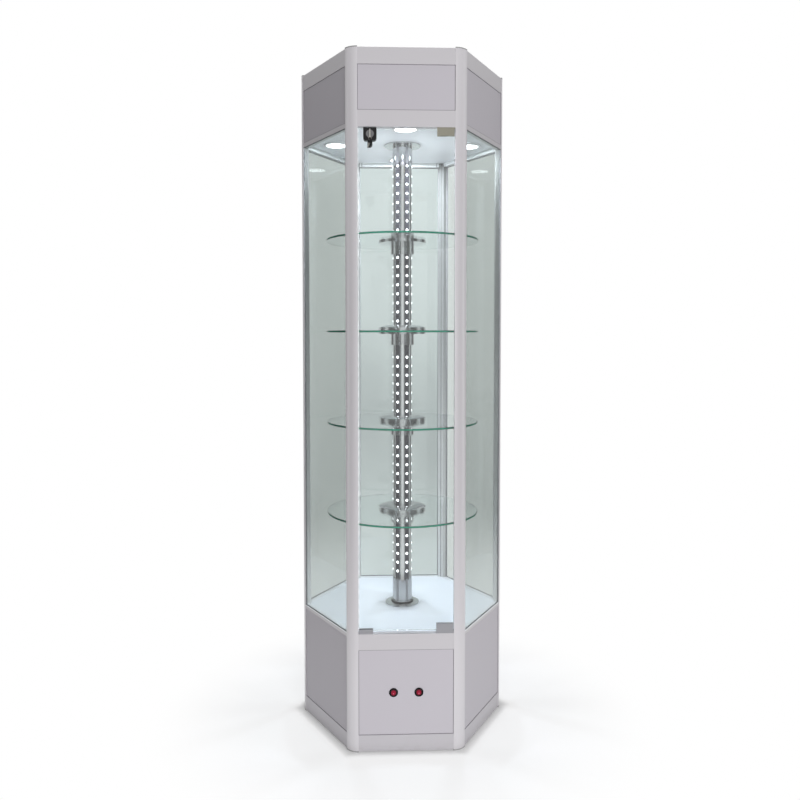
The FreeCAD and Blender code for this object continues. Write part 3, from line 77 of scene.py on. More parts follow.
SIDES = ("right_front", "right_rear", "rear", "left_rear", "left_front")
DOOR_SIDE = Turns(1, 180, 0)
GLASS_SIDES = Turns(len(SIDES), 120, -60)
STRIPS = Turns(6, 57, 60)
PINCH_SCREWS = Turns(3, 15, 120)


def screen(red: int, green: int, blue: int) -> Colour:
    """Turn a colour as a screen shows it into the linear one that shaders use.

    Args:
        red: Red, 0 to 255.
        green: Green, 0 to 255.
        blue: Blue, 0 to 255.

    Returns:
        The three linear channels, 0 to 1.
    """
    return tuple((value / 255 / 12.92) if value <= 10 else ((value / 255 + 0.055) / 1.055) ** 2.4
                 for value in (red, green, blue))


# ---------------------------------------------------------------- node trees

class NodeBoard:
    """A shader or geometry node tree in the making."""

    def __init__(self, tree: bpy.types.NodeTree) -> None:
        """Take an empty tree.

        Args:
            tree: The tree that nodes are added to.
        """
        self.tree = tree

    @classmethod
    def blank(cls, owner: bpy.types.Material | bpy.types.World) -> "NodeBoard":
        """Empty the tree of a material or a world and take it.

        Args:
            owner: The material or the world.

        Returns:
            The board of its tree.
        """
        owner.use_nodes = True
        owner.node_tree.nodes.clear()
        return cls(owner.node_tree)

    def add(self, kind: str, settings: dict[str, Any] | None = None,
            sockets: dict[int | str, Any] | None = None) -> bpy.types.Node:
        """Add one node.

        Args:
            kind: Type name of the node.
            settings: Properties set before any socket.
            sockets: Value, link or Signal for each input, by name or number.

        Returns:
            The node.
        """
        node = self.tree.nodes.new(kind)
        for key, value in (settings or {}).items():
            setattr(node, key, value)
        for key, value in (sockets or {}).items():
            source = value.socket if isinstance(value, Signal) else value
            if isinstance(source, bpy.types.NodeSocket):
                self.tree.links.new(source, node.inputs[key])
            else:
                node.inputs[key].default_value = source
        return node

    def point(self) -> bpy.types.NodeSocket:
        """The place on the piece, in metres."""
        return self.add("ShaderNodeTexCoord").outputs["Object"]

    def split(self, vector: bpy.types.NodeSocket) -> tuple["Signal", "Signal", "Signal"]:
        """Split a vector into its three values.

        Args:
            vector: The vector's socket.

        Returns:
            Signals of its X, Y and Z.
        """
        node = self.add("ShaderNodeSeparateXYZ", sockets={0: vector})
        return tuple(Signal(self, socket) for socket in node.outputs)

    def height(self) -> "Signal":
        """The Z of the place on the piece."""
        return self.split(self.point())[2]

    def depth(self) -> "Signal":
        """Distance from the axis to the side of the six-sided plan that the place lies on.

        Returns:
            The distance, in metres.
        """
        x, y, _ = self.split(self.point())
        along, across = x * math.cos(SIXTH / 2), y * math.cos(SIXTH)
        return abs(y).most(abs(along + across)).most(abs(along - across))

    def noise(self, stretch: Point, size: float, detail: float = 2.0,
              roughness: float = 0.5) -> "Signal":
        """A noise over the piece, from 0 to 1.

        Args:
            stretch: How fast it changes along X, Y and Z, against the others.
            size: Length of one swing, in metres.
            detail: Octaves.
            roughness: Strength of the finer octaves.

        Returns:
            Its value.
        """
        place = self.add("ShaderNodeMapping", sockets={"Vector": self.point(), "Scale": stretch})
        node = self.add("ShaderNodeTexNoise", {"noise_dimensions": "3D"}, {
            "Vector": place.outputs[0], "Scale": 1.0 / size, "Detail": detail,
            "Roughness": roughness})
        return Signal(self, node.outputs[0])

    def blend(self, share: "Signal", first: Any, second: Any) -> bpy.types.NodeSocket:
        """Blend two colours.

        Args:
            share: How much of the second shows.
            first: Colour or its socket.
            second: Colour or its socket.

        Returns:
            The blended colour.
        """
        first, second = ((*value, 1.0) if isinstance(value, tuple) else value
                         for value in (first, second))
        node = self.add("ShaderNodeMix", {"data_type": "RGBA"}, {0: share, 6: first, 7: second})
        return node.outputs[2]

    def mix(self, share: Any, first: bpy.types.NodeSocket,
            second: bpy.types.NodeSocket) -> bpy.types.NodeSocket:
        """Mix two shaders.

        Args:
            share: How much of the second shows.
            first: The first shader.
            second: The second shader.

        Returns:
            The mixed shader.
        """
        return self.add("ShaderNodeMixShader", sockets={0: share, 1: first, 2: second}).outputs[0]


class Signal:
    """A value in a node tree. Python's operators on it add Math nodes."""

    def __init__(self, board: NodeBoard, socket: bpy.types.NodeSocket) -> None:
        """Wrap a socket.

        Args:
            board: The tree that it belongs to.
            socket: The output that carries the value.
        """
        self.board = board
        self.socket = socket

    def _math(self, operation: str, *values: Any) -> "Signal":
        """Add a Math node and return what it puts out."""
        node = self.board.add("ShaderNodeMath", {"operation": operation}, dict(enumerate(values)))
        return Signal(self.board, node.outputs[0])

    def __add__(self, other: Any) -> "Signal":
        """The sum."""
        return self._math("ADD", self, other)

    def __sub__(self, other: Any) -> "Signal":
        """The difference."""
        return self._math("SUBTRACT", self, other)

    def __rsub__(self, other: Any) -> "Signal":
        """The difference the other way round."""
        return self._math("SUBTRACT", other, self)

    def __mul__(self, other: Any) -> "Signal":
        """The product."""
        return self._math("MULTIPLY", self, other)

    def __truediv__(self, other: Any) -> "Signal":
        """The quotient."""
        return self._math("DIVIDE", self, other)

    def __pow__(self, other: Any) -> "Signal":
        """The power."""
        return self._math("POWER", self, other)

    def __mod__(self, other: Any) -> "Signal":
        """The remainder, never below 0."""
        return self._math("FLOORED_MODULO", self, other)

    def __abs__(self) -> "Signal":
        """The size without its sign."""
        return self._math("ABSOLUTE", self)

    def __lt__(self, other: Any) -> "Signal":
        """1 where it is less, else 0."""
        return self._math("LESS_THAN", self, other)

    def __gt__(self, other: Any) -> "Signal":
        """1 where it is more, else 0."""
        return self._math("GREATER_THAN", self, other)

    __radd__, __rmul__ = __add__, __mul__

    def cosine(self) -> "Signal":
        """Its cosine, with the value in radians."""
        return self._math("COSINE", self)

    def most(self, other: Any) -> "Signal":
        """The greater of the two."""
        return self._math("MAXIMUM", self, other)

    def bearing(self, other: "Signal") -> "Signal":
        """The angle of the point that has this as its X and the other as its Y."""
        return self._math("ARCTAN2", other, self)

    def reach(self, other: "Signal") -> "Signal":
        """The length of the two values taken as the legs of a right angle."""
        return (self * self + other * other) ** 0.5

    def ramp(self, low: float, high: float) -> "Signal":
        """Run from 0 at one value to 1 at another, softly.

        Args:
            low: Where it is 0.
            high: Where it is 1.

        Returns:
            The ramped value.
        """
        node = self.board.add("ShaderNodeMapRange", {"interpolation_type": "SMOOTHSTEP"}, {
            "Value": self, "From Min": low, "From Max": high})
        return Signal(self.board, node.outputs[0])


# ---------------------------------------------------------------- finishes

class Relief(Enum):
    """The way that a finish's fine relief runs, as its speed along X, Y and Z."""

    EVEN = (1.0, 1.0, 1.0)
    UPRIGHT = (1.0, 1.0, 0.003)
    LEVEL = (0.003, 0.003, 1.0)
    CROSSWISE = (0.004, 1.0, 1.0)


@dataclass(frozen=True)
class Finish:
    """A finish whose colour, roughness and relief vary finely over the piece."""

    name: str
    colour: Colour
    roughness: float = 0.4
    metallic: float = 0.0
    coat: float = 0.0
    coat_roughness: float = 0.15
    relief: Relief = Relief.EVEN
    relief_pitch: float = 0.0015
    relief_depth: float = 0.00002
    mottle: float = 0.05
    mottle_size: float = 0.12
    level: float = 0.5
    cloud_stretch: Point = (1.0, 1.0, 0.5)
    cloud_share: float = 0.7
    smear_stretch: Point = (1.0, 1.0, 0.35)
    smear_size: float = 0.6
    smear_swing: float = 0.3
    grain_swing: float = 0.12

    @cache
    def material(self) -> bpy.types.Material:
        """The finish as a material, built once.

        Returns:
            The material.
        """
        material = bpy.data.materials.new(self.name)
        board = NodeBoard.blank(material)
        board.add("ShaderNodeOutputMaterial", sockets={"Surface": self.surface(board)})
        return material

    def surface(self, board: NodeBoard) -> bpy.types.NodeSocket:
        """Build the whole shader.

        Args:
            board: The material's tree.

        Returns:
            The shader's socket.
        """
        return self.body(board).outputs[0]

    def body(self, board: NodeBoard) -> bpy.types.Node:
        """Build the one Principled shader that carries the colour and the relief.

        Args:
            board: The material's tree.

        Returns:
            The Principled node.
        """
        grain = board.noise(self.relief.value, self.relief_pitch, detail=3.0, roughness=0.55)
        bump = board.add("ShaderNodeBump", sockets={
            "Strength": 1.0, "Distance": self.relief_depth, "Height": grain})
        return board.add("ShaderNodeBsdfPrincipled", sockets={
            "Base Color": self.tone(board, grain), "Metallic": self.metallic,
            "Roughness": self.sheen(board, grain), "Specular IOR Level": self.level,
            "Coat Weight": self.coat, "Coat Roughness": self.coat_roughness,
            "Normal": bump.outputs[0]})

    def tone(self, board: NodeBoard, grain: Signal) -> bpy.types.NodeSocket:
        """The colour over the piece: wide soft clouds and a trace of the grain.

        Args:
            board: The material's tree.
            grain: The fine relief.

        Returns:
            The colour's socket.
        """
        clouds = board.noise(self.cloud_stretch, self.mottle_size, detail=3.0)
        share = clouds * self.cloud_share + grain * (1 - self.cloud_share)
        dark, light = (tuple(min(1.0, channel * swing) for channel in self.colour)
                       for swing in (1 - self.mottle, 1 + self.mottle))
        return board.blend(share, dark, light)

    def sheen(self, board: NodeBoard, grain: Signal) -> Signal:
        """The roughness over the piece, which keeps its mean.

        Args:
            board: The material's tree.
            grain: The fine relief.

        Returns:
            The roughness.
        """
        smears = board.noise(self.smear_stretch, self.mottle_size * self.smear_size, detail=4.0,
                             roughness=0.6)
        least = 1 - (self.smear_swing + self.grain_swing) / 2
        return smears * (self.roughness * self.smear_swing) \
            + grain * (self.roughness * self.grain_swing) + self.roughness * least


@dataclass(frozen=True)
class ScuffedFinish(Finish):
    """A finish that is rubbed and a little dusty near the floor."""

    scuff_top: float = 0.035
    scuff_stretch: Point = (1.0, 1.0, 1.6)
    scuff_size: float = 0.02
    scuff_range: Pair = (0.42, 0.75)
    scuff_share: float = 0.25
    scuff_colour: Colour = screen(168, 164, 162)

    def tone(self, board: NodeBoard, grain: Signal) -> bpy.types.NodeSocket:
        """The colour, greyer towards the floor in uneven patches.

        Args:
            board: The material's tree.
            grain: The fine relief.

        Returns:
            The colour's socket.
        """
        height = board.height()
        patches = board.noise(self.scuff_stretch, self.scuff_size, detail=4.0, roughness=0.65)
        share = patches.ramp(*self.scuff_range) * (1 - height.ramp(0.0, self.scuff_top)) \
            * self.scuff_share
        return board.blend(share, super().tone(board, grain), self.scuff_colour)


@dataclass(frozen=True)
class PostFinish(Finish):
    """A six-sided frame's post, with painted shade and painted groove shade lines on its inner side
    behind the glass.
    """

    inner_edge: float = 0.268
    edge_blur: float = 0.0005
    # Colours of the painted shade on the inner side, low and high, and of its painted groove shade
    # lines.
    inner_shade_low: Colour = screen(188, 190, 190)
    inner_shade_high: Colour = screen(104, 106, 105)
    inner_shade_range: Pair = (0.4, 1.6)
    corner_reach: float = 0.29
    line_offsets: Pair = (0.0, 0.016)
    line_width: float = 0.0034
    groove_shade_share: float = 0.55
    groove_shade_colour: Colour = (0.02, 0.02, 0.02)

    def tone(self, board: NodeBoard, grain: Signal) -> bpy.types.NodeSocket:
        """The colour, with painted shade nearer the middle than the glass is: greyer low down, darker
        up high, and three fine painted shade lines for the grooves.

        Args:
            board: The material's tree.
            grain: The fine relief.

        Returns:
            The colour's socket.
        """
        x, y, height = board.split(board.point())
        outer = board.depth().ramp(self.inner_edge - self.edge_blur,
                                   self.inner_edge + self.edge_blur)
        offset = abs((x.bearing(y) + SIXTH / 2) % SIXTH - SIXTH / 2)
        middle, side = (abs(offset * self.corner_reach - place) < self.line_width / 2
                        for place in self.line_offsets)
        # Painted shade on the inner side, darker up high, crossed by painted shade lines for the
        # grooves.
        inner = board.blend(height.ramp(*self.inner_shade_range), self.inner_shade_low, self.inner_shade_high)
        shade_lined = board.blend((middle + side) * self.groove_shade_share, inner, self.groove_shade_colour)
        return board.blend(outer, shade_lined, super().tone(board, grain))


@dataclass(frozen=True)
class TrimFinish(PostFinish):
    """A trim at the edge of the glass, with a painted highlight along its lip at the sill."""

    lip: Pair = (0.3405, 0.36)
    sill_highlight_colour: Colour = screen(236, 239, 242)

    def tone(self, board: NodeBoard, grain: Signal) -> bpy.types.NodeSocket:
        """The colour, with a painted highlight along the lip of the sill.

        Args:
            board: The material's tree.
            grain: The fine relief.

        Returns:
            The colour's socket.
        """
        height = board.height()
        # Painted highlight along the lip of the sill.
        share = (height > self.lip[0]) * (height < self.lip[1])
        return board.blend(share, super().tone(board, grain), self.sill_highlight_colour)


@dataclass(frozen=True)
class StripFinish(Finish):
    """A light strip with small dark chips in step with its light dots."""

    chip_pitch: float = DOT_PITCH / 3
    chip_length: float = 0.0046
    chip_share: float = 0.85
    chip_colour: Colour = screen(34, 34, 38)

    def tone(self, board: NodeBoard, grain: Signal) -> bpy.types.NodeSocket:
        """The colour, dark across each chip."""
        chips = board.height() % self.chip_pitch < self.chip_length
        return board.blend(chips * self.chip_share, super().tone(board, grain), self.chip_colour)


@dataclass(frozen=True)
class ReflectionDashFinish(Finish):
    """A clear edge strip with painted reflections of a row of lights, as short bright dashes."""

    reflection_pitch: float = DOT_PITCH
    reflection_fade: Pair = (0.0051, 0.0102)
    reflection_colour: Colour = screen(252, 253, 254)

    def tone(self, board: NodeBoard, grain: Signal) -> bpy.types.NodeSocket:
        """The colour, with a painted reflection along each dash.

        Args:
            board: The material's tree.
            grain: The fine relief.

        Returns:
            The colour's socket.
        """
        # Painted reflections of the column's light dots: short bright dashes at their pitch.
        off = abs(board.height() % self.reflection_pitch - self.reflection_pitch / 2)
        dashes = 1 - off.ramp(*self.reflection_fade)
        return board.blend(dashes, super().tone(board, grain), self.reflection_colour)


@dataclass(frozen=True)
class TubeFinish(Finish):
    """Bright metal painted darker low down, near where the bare end of the tube stands on its foot, as
    painted shade for its dimmer reflections there.
    """

    foot_shade_range: Pair = (0.42, 0.47)
    foot_shade_colour: Colour = (0.44, 0.445, 0.45)

    def tone(self, board: NodeBoard, grain: Signal) -> bpy.types.NodeSocket:
        """The colour, darker towards the foot as painted shade."""
        # Painted shade: darker towards the foot.
        share = board.height().ramp(*self.foot_shade_range)
        return board.blend(share, self.foot_shade_colour, super().tone(board, grain))


@dataclass(frozen=True)
class RockerFinish(Finish):
    """Translucent red plastic over a small lamp: dark at the rim, with a painted pink highlight low
    down.
    """

    centre: Pair = (0.0365, 0.173)
    rim_range: Pair = (0.0052, 0.0084)
    rim_colour: Colour = screen(26, 4, 14)
    rocker_highlight_drop: float = 0.0026
    rocker_highlight_radius: float = 0.0024
    rocker_highlight_share: float = 0.8
    rocker_highlight_colour: Colour = screen(232, 120, 150)

    def tone(self, board: NodeBoard, grain: Signal) -> bpy.types.NodeSocket:
        """The colour, from the painted highlight through red to the dark rim.

        Args:
            board: The material's tree.
            grain: The fine relief.

        Returns:
            The colour's socket.
        """
        x, _, z = board.split(board.point())
        aside, above = abs(x) - self.centre[0], z - self.centre[1]
        rim = aside.reach(above).ramp(*self.rim_range)
        # Painted pink highlight low on the rocker.
        rocker_highlight = 1 - aside.reach(above + self.rocker_highlight_drop).ramp(0.0, self.rocker_highlight_radius)
        red = board.blend(rocker_highlight * self.rocker_highlight_share, super().tone(board, grain), self.rocker_highlight_colour)
        return board.blend(rim, red, self.rim_colour)


@dataclass(frozen=True)
class SheetGlass(Finish):
    """Clear glass that lamps shine through, with ground and polished edges."""

    roughness: float = 0.0
    face_axis: int | None = None
    edge_colour: Colour = screen(0, 128, 100)
    edge_highlight: Colour = screen(0, 176, 148)
    edge_stretch: Point = (1.0, 1.0, 0.4)
    edge_pitch: float = 0.018
    edge_highlight_range: Pair = (0.4, 0.8)
    edge_highlight_share: float = 0.5
    lamp_colour: Colour = (0.955, 0.965, 0.97)
    # Painted shade low down, painted light from the deck, and painted reflections of a folded cloth,
    # all in the glass's colour.
    low_shade_share: float = 1.0
    low_shade_range: Pair = (0.5, 1.7)
    painted_deck_range: Pair = (0.35, 0.85)
    painted_deck_light: float = 0.0
    cloth_reflection_stretch: Point = (1.0, 1.0, 0.45)
    cloth_reflection_size: float = 0.22
    cloth_reflection_range: Pair = (0.35, 0.7)
    cloth_reflection_share: float = 0.2

    def surface(self, board: NodeBoard) -> bpy.types.NodeSocket:
        """Glass on the faces, green on the edges, and clear to rays from lamps.

        Args:
            board: The material's tree.

        Returns:
            The shader's socket.
        """
        glass = board.add("ShaderNodeBsdfPrincipled", sockets={
            "Base Color": self.tint_and_painted_light(board), "Roughness": self.roughness, "IOR": 1.5,
            "Transmission Weight": 1.0}).outputs[0]
        if self.face_axis is not None:
            glass = board.mix(self.on_edge(board), glass, self.edge(board))
        path = board.add("ShaderNodeLightPath").outputs
        clear = board.add("ShaderNodeBsdfTransparent",
                          sockets={"Color": (*self.lamp_colour, 1.0)}).outputs[0]
        soft = board.mix(path["Is Diffuse Ray"], glass, clear)
        return board.mix(path["Is Shadow Ray"], soft, clear)

    def tint_and_painted_light(self, board: NodeBoard) -> bpy.types.NodeSocket:
        """The glass's own colour, deepened low down by painted shade, lifted near the deck by painted
        light where that is set, and crossed by faint slanting painted reflections of a folded cloth.

        Args:
            board: The material's tree.

        Returns:
            The colour's socket.
        """
        height = board.height()
        cloth_reflections = board.noise(self.cloth_reflection_stretch, self.cloth_reflection_size, detail=2.0,
                            roughness=0.4).ramp(*self.cloth_reflection_range)
        # Painted shade deepens the glass low down, eased near the deck by painted deck light; painted
        # cloth reflections are blended in.
        depth = (1 - height.ramp(*self.low_shade_range)) \
            * (1 - (1 - height.ramp(*self.painted_deck_range)) * self.painted_deck_light)
        share = depth * (1 - self.cloth_reflection_share) + cloth_reflections * self.cloth_reflection_share
        shaded_colour = tuple(channel * self.low_shade_share for channel in self.colour)
        return board.blend(share, self.colour, shaded_colour)

    def on_edge(self, board: NodeBoard) -> Signal:
        """1 outside on the edges, whose normals lie across the faces' axis, else 0.

        Args:
            board: The material's tree.

        Returns:
            The share of edge.
        """
        normal = board.add("ShaderNodeTexCoord").outputs["Normal"]
        inside = Signal(board, board.add("ShaderNodeNewGeometry").outputs["Backfacing"])
        return (abs(board.split(normal)[self.face_axis]) < 0.5) * (1 - inside)

    def edge(self, board: NodeBoard) -> bpy.types.NodeSocket:
        """The edge of the sheet, with painted highlights as brighter streaks along it.

        Args:
            board: The material's tree.

        Returns:
            The shader's socket.
        """
        # Painted highlights: brighter streaks along the edge.
        streaks = board.noise(self.edge_stretch, self.edge_pitch, detail=3.0,
                              roughness=0.6).ramp(*self.edge_highlight_range)
        colour = board.blend(streaks * self.edge_highlight_share, self.edge_colour, self.edge_highlight)
        return board.add("ShaderNodeBsdfPrincipled", sockets={
            "Base Color": colour, "Roughness": 0.2, "Coat Weight": 0.08,
            "Specular IOR Level": 0.15, "Coat Roughness": 0.08}).outputs[0]


@dataclass(frozen=True)
class Glow(Finish):
    """A lit lens or light dot."""

    strength: float = 4.0
    light: Colour = (0.92, 0.96, 1.0)

    def body(self, board: NodeBoard) -> bpy.types.Node:
        """The Principled shader with its light.

        Args:
            board: The material's tree.

        Returns:
            The Principled node.
        """
        node = super().body(board)
        node.inputs["Emission Color"].default_value = (*self.light, 1.0)
        node.inputs["Emission Strength"].default_value = self.strength
        return node


EXTRUDED = {"metallic": 0.25, "relief_pitch": 0.0012, "relief_depth": 0.00001, "mottle": 0.012,
            "mottle_size": 0.3}
RAIL = {"colour": screen(199, 196, 200), "roughness": 0.38, "coat": 0.2, "coat_roughness": 0.2,
        "relief": Relief.LEVEL, **EXTRUDED}
SATIN = {"coat_roughness": 0.2, "relief": Relief.CROSSWISE, "relief_pitch": 0.0009,
         "relief_depth": 0.000008, "mottle_size": 0.05}
BRIGHT = {"metallic": 1.0, "relief_pitch": 0.004, "relief_depth": 0.000002, "mottle": 0.03,
          "mottle_size": 0.08}

# The posts' colour is a little lighter than the rails', partly as painted light.
ALUMINIUM_UPRIGHT = PostFinish("aluminium_upright", screen(210, 207, 211), 0.36, coat=0.3,
                               coat_roughness=0.08, relief=Relief.UPRIGHT, **EXTRUDED)
ALUMINIUM_LEVEL = Finish("aluminium_level", **RAIL)
ALUMINIUM_TRIM = TrimFinish("aluminium_trim", inner_shade_low=screen(188, 192, 192),
                            inner_shade_high=screen(196, 200, 200), **RAIL)
# The kick rails' colour is raised as painted light where the light is dimmer near the floor.
ALUMINIUM_KICK = ScuffedFinish("aluminium_kick", **{
    **RAIL, "colour": screen(194, 191, 196), "roughness": 0.4, "coat": 0.15,
    "coat_roughness": 0.25, "mottle": 0.015})
CAP_GREY = Finish("cap_grey_plastic", screen(150, 150, 150), 0.55, mottle=0.06)
PANEL = Finish("panel_laminate", screen(191, 187, 194), 0.45, coat=0.1, coat_roughness=0.3,
               relief_pitch=0.0022, relief_depth=0.00003, mottle=0.015, mottle_size=0.3)
BOARD = Finish("board_laminate", screen(234, 239, 245), 0.35, coat=0.2, coat_roughness=0.2,
               relief_pitch=0.0018, mottle=0.02, mottle_size=0.25)
BRACKET = Finish("bracket_zinc", screen(170, 172, 175), 0.45, metallic=0.9, mottle=0.12,
                 mottle_size=0.02)
PANE_GLASS = SheetGlass("clear_pane", (0.77, 0.815, 0.80), low_shade_share=0.86)
REAR_GLASS = SheetGlass("clear_rear_pane", (0.73, 0.815, 0.808), low_shade_share=0.54,
                        low_shade_range=(0.75, 1.8), painted_deck_light=0.65)
DOOR_GLASS = SheetGlass("clear_door", (0.95, 0.975, 0.97), face_axis=1, low_shade_share=0.97,
                        edge_colour=screen(176, 205, 200), edge_highlight=screen(240, 250, 250),
                        edge_pitch=0.03)
SHELF_GLASS = SheetGlass("clear_shelf", (0.93, 0.975, 0.965), face_axis=2)
SATIN_PATCH = Finish("satin_patch_top", screen(150, 147, 134), 0.45, metallic=0.5, **SATIN)
SATIN_STEEL = Finish("satin_steel", screen(160, 160, 165), 0.38, metallic=0.7, **SATIN)
LOCK_BLACK = Finish("lock_black_paint", screen(14, 14, 16), coat=0.15, coat_roughness=0.12,
                    level=0.25, relief_pitch=0.0007, relief_depth=0.000008, mottle=0.2,
                    mottle_size=0.02)
# Chrome in lit and shaded copies of one metal: the tube and bush are set lighter and the collars, caps
# and foot darker, as painted light and shade. The lock barrel's much darker chrome is painted shade
# for its dark reflections.
CHROME = Finish("bright_chrome", (0.52, 0.53, 0.54), 0.07, relief=Relief.LEVEL, **BRIGHT)
TUBE_CHROME = TubeFinish("tube_chrome", (0.65, 0.66, 0.67), 0.07, relief=Relief.UPRIGHT, **BRIGHT)
BUSH_CHROME = Finish("bush_chrome", (0.66, 0.665, 0.67), 0.1, relief=Relief.LEVEL, **BRIGHT)
BARREL_CHROME = Finish("barrel_chrome", (0.17, 0.17, 0.175), 0.2, metallic=1.0,
                       relief=Relief.LEVEL, relief_depth=0.00001, mottle=0.12, mottle_size=0.008)
CHANNEL_GREY = Finish("channel_cover_grey", screen(146, 147, 151), 0.35, metallic=0.6,
                      relief=Relief.UPRIGHT, relief_pitch=0.001, relief_depth=0.000005,
                      mottle=0.04)
KEY_STEEL = Finish("key_nickel", screen(186, 184, 178), 0.2, metallic=1.0, relief_pitch=0.0012,
                   relief_depth=0.00001, mottle=0.1, mottle_size=0.01)
STRIP_GREY = StripFinish("strip_circuit", screen(66, 66, 72), 0.5, relief_pitch=0.003,
                         mottle=0.18, mottle_size=0.008)
LIGHT_DOT = Glow("light_dot", (0.95, 0.96, 0.98), 0.3, mottle=0.01)
LENS = Glow("frosted_lens", (0.95, 0.96, 0.98), 0.35, mottle=0.01, strength=4.5)
RIM_WHITE = Finish("downlight_rim_paint", screen(236, 237, 238), 0.35, coat=0.3,
                   relief_depth=0.00001, mottle=0.02)
SWITCH_BLACK = Finish("switch_black_plastic", screen(12, 12, 13), 0.5, level=0.15,
                      relief_pitch=0.0006, relief_depth=0.00001, mottle=0.15, mottle_size=0.01)
ROCKER_RED = RockerFinish("rocker_red_plastic", screen(142, 6, 42), 0.3, coat=0.1,
                          coat_roughness=0.06, level=0.25, relief_pitch=0.003,
                          relief_depth=0.000006, mottle=0.12, mottle_size=0.01)
SPINDLE_STEEL = Finish("spindle_steel", screen(176, 177, 178), 0.28, metallic=1.0,
                       relief=Relief.LEVEL, relief_pitch=0.0006, relief_depth=0.000008)
BEARING_IRON = Finish("bearing_iron", screen(92, 96, 100), 0.6, metallic=0.4, relief_pitch=0.0022,
                      relief_depth=0.00012, mottle=0.15, mottle_size=0.02)
MOTOR_GREY = Finish("motor_paint", screen(84, 87, 92), 0.38, coat=0.2, relief_pitch=0.0014,
                    relief_depth=0.00003, mottle=0.1, mottle_size=0.04)
RING_BLACK = Finish("slip_ring_plastic", screen(34, 34, 36), 0.42, mottle=0.15, mottle_size=0.02)
DRIVER_WHITE = Finish("driver_case_plastic", screen(214, 213, 208), 0.5, relief_pitch=0.0012,
                      relief_depth=0.00004, mottle=0.04, mottle_size=0.05)
RUBBER = Finish("black_rubber", screen(36, 36, 37), 0.7, relief_pitch=0.001,
                relief_depth=0.00003, mottle=0.15, mottle_size=0.01)
CAM_ZINC = Finish("cam_zinc", screen(48, 49, 52), 0.42, metallic=0.8, relief_pitch=0.001,
                  relief_depth=0.00001, mottle=0.12, mottle_size=0.006)
# The door's edge strip, with painted reflections of the light dots as dashes.
EDGE_STRIP = ReflectionDashFinish("clear_edge_strip", screen(226, 232, 232), 0.2, coat=0.5,
                        coat_roughness=0.05, relief_pitch=0.002, relief_depth=0.000005,
                        mottle=0.03)
SEAL = Finish("glazing_seal", screen(122, 124, 126), 0.55, relief_pitch=0.002, mottle=0.06)
PANEL_JOINT = Finish("panel_joint", screen(134, 130, 137), 0.6, relief_pitch=0.002, mottle=0.06)
SCREW_STEEL = Finish("screw_steel", screen(120, 121, 122), 0.35, metallic=1.0,
                     relief_pitch=0.0008, relief_depth=0.00001, mottle=0.15, mottle_size=0.004)


def dress(finish: Finish, *nodes: str) -> None:
    """Give solids of the frame their finish.

    Args:
        finish: The finish.
        nodes: Names of the solids.
    """
    for name in nodes:
        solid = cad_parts[name]
        for slot in solid.material_slots:
            slot.material = finish.material()
    LOG.info("dressed %s in %s", ", ".join(nodes), finish.name)


# ---------------------------------------------------------------- pieces

def add_to_scene(name: str, data: bpy.types.ID) -> bpy.types.Object:
    """Make an object of a mesh, lamp or camera and link it to the scene.

    Args:
        name: Name of the object.
        data: What it holds.

    Returns:
        The object.
    """
    item = bpy.data.objects.new(name, data)
    bpy.context.scene.collection.objects.link(item)
    return item


def finish_piece(mesh: bpy.types.Mesh, name: str, body: str) -> None:
    """Put a finished mesh in the scene and hand it to its moving body.

    Args:
        mesh: The mesh, in its place, with its material.
        name: Name of the piece.
        body: The body that it moves with.
    """
    mesh.name = name
    piece = add_to_scene(name, mesh)
    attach(piece, body)
    LOG.info("built %s: %d faces on %s", name, len(mesh.polygons), body)


def to_mesh(shape: bmesh.types.BMesh, finish: Finish | None = None,
            smooth: float = 35.0) -> bpy.types.Mesh:
    """Close a bmesh into a mesh with outward faces.

    Args:
        shape: The shape, which is freed.
        finish: Its finish, if it has one already.
        smooth: Angle in degrees under which edges shade smoothly.

    Returns:
        The mesh.
    """
    bmesh.ops.remove_doubles(shape, verts=shape.verts, dist=WELD_DISTANCE)
    bmesh.ops.recalc_face_normals(shape, faces=shape.faces)
    limit = math.radians(smooth)
    for face in shape.faces:
        face.smooth = True
    for edge in shape.edges:
        edge.smooth = len(edge.link_faces) == 2 and edge.calc_face_angle() < limit
    mesh = bpy.data.meshes.new("shape")
    shape.to_mesh(mesh)
    shape.free()
    if finish:
        mesh.materials.append(finish.material())
    return mesh


def on_circle(radius: float, angle: float) -> Pair:
    """The two coordinates of a point on a circle, at an angle in radians."""
    return radius * math.cos(angle), radius * math.sin(angle)


def join_loops(shape: bmesh.types.BMesh, loops: list[list[bmesh.types.BMVert]]) -> None:
    """Join each loop to the next with a wall of faces.

    Args:
        shape: The shape that the faces join.
        loops: Loops of as many corners each. A pole repeats its one corner, and a run that
            closes on itself ends with its first loop.
    """
    for first, second in zip(loops, loops[1:]):
        for corner in range(len(first)):
            following = (corner + 1) % len(first)
            shape.faces.new(list(dict.fromkeys(
                (first[corner], first[following], second[following], second[corner]))))


def lathe(profile: Iterable[Pair], steps: int, closed: bool = False) -> bmesh.types.BMesh:
    """Turn a profile round the Z axis.

    Args:
        profile: Radius and height of each point, from pole to pole or round a loop.
        steps: Sides of the turned shape.
        closed: True for a loop, whose last point joins its first.

    Returns:
        The closed shape.
    """
    shape = bmesh.new()
    loops = []
    for radius, height in profile:
        if radius == 0:
            loops.append([shape.verts.new((0, 0, height))] * steps)
        else:
            loops.append([
                shape.verts.new((*on_circle(radius, 2 * math.pi * step / steps), height))
                for step in range(steps)])
    join_loops(shape, loops + loops[:1] if closed else loops)
    return shape


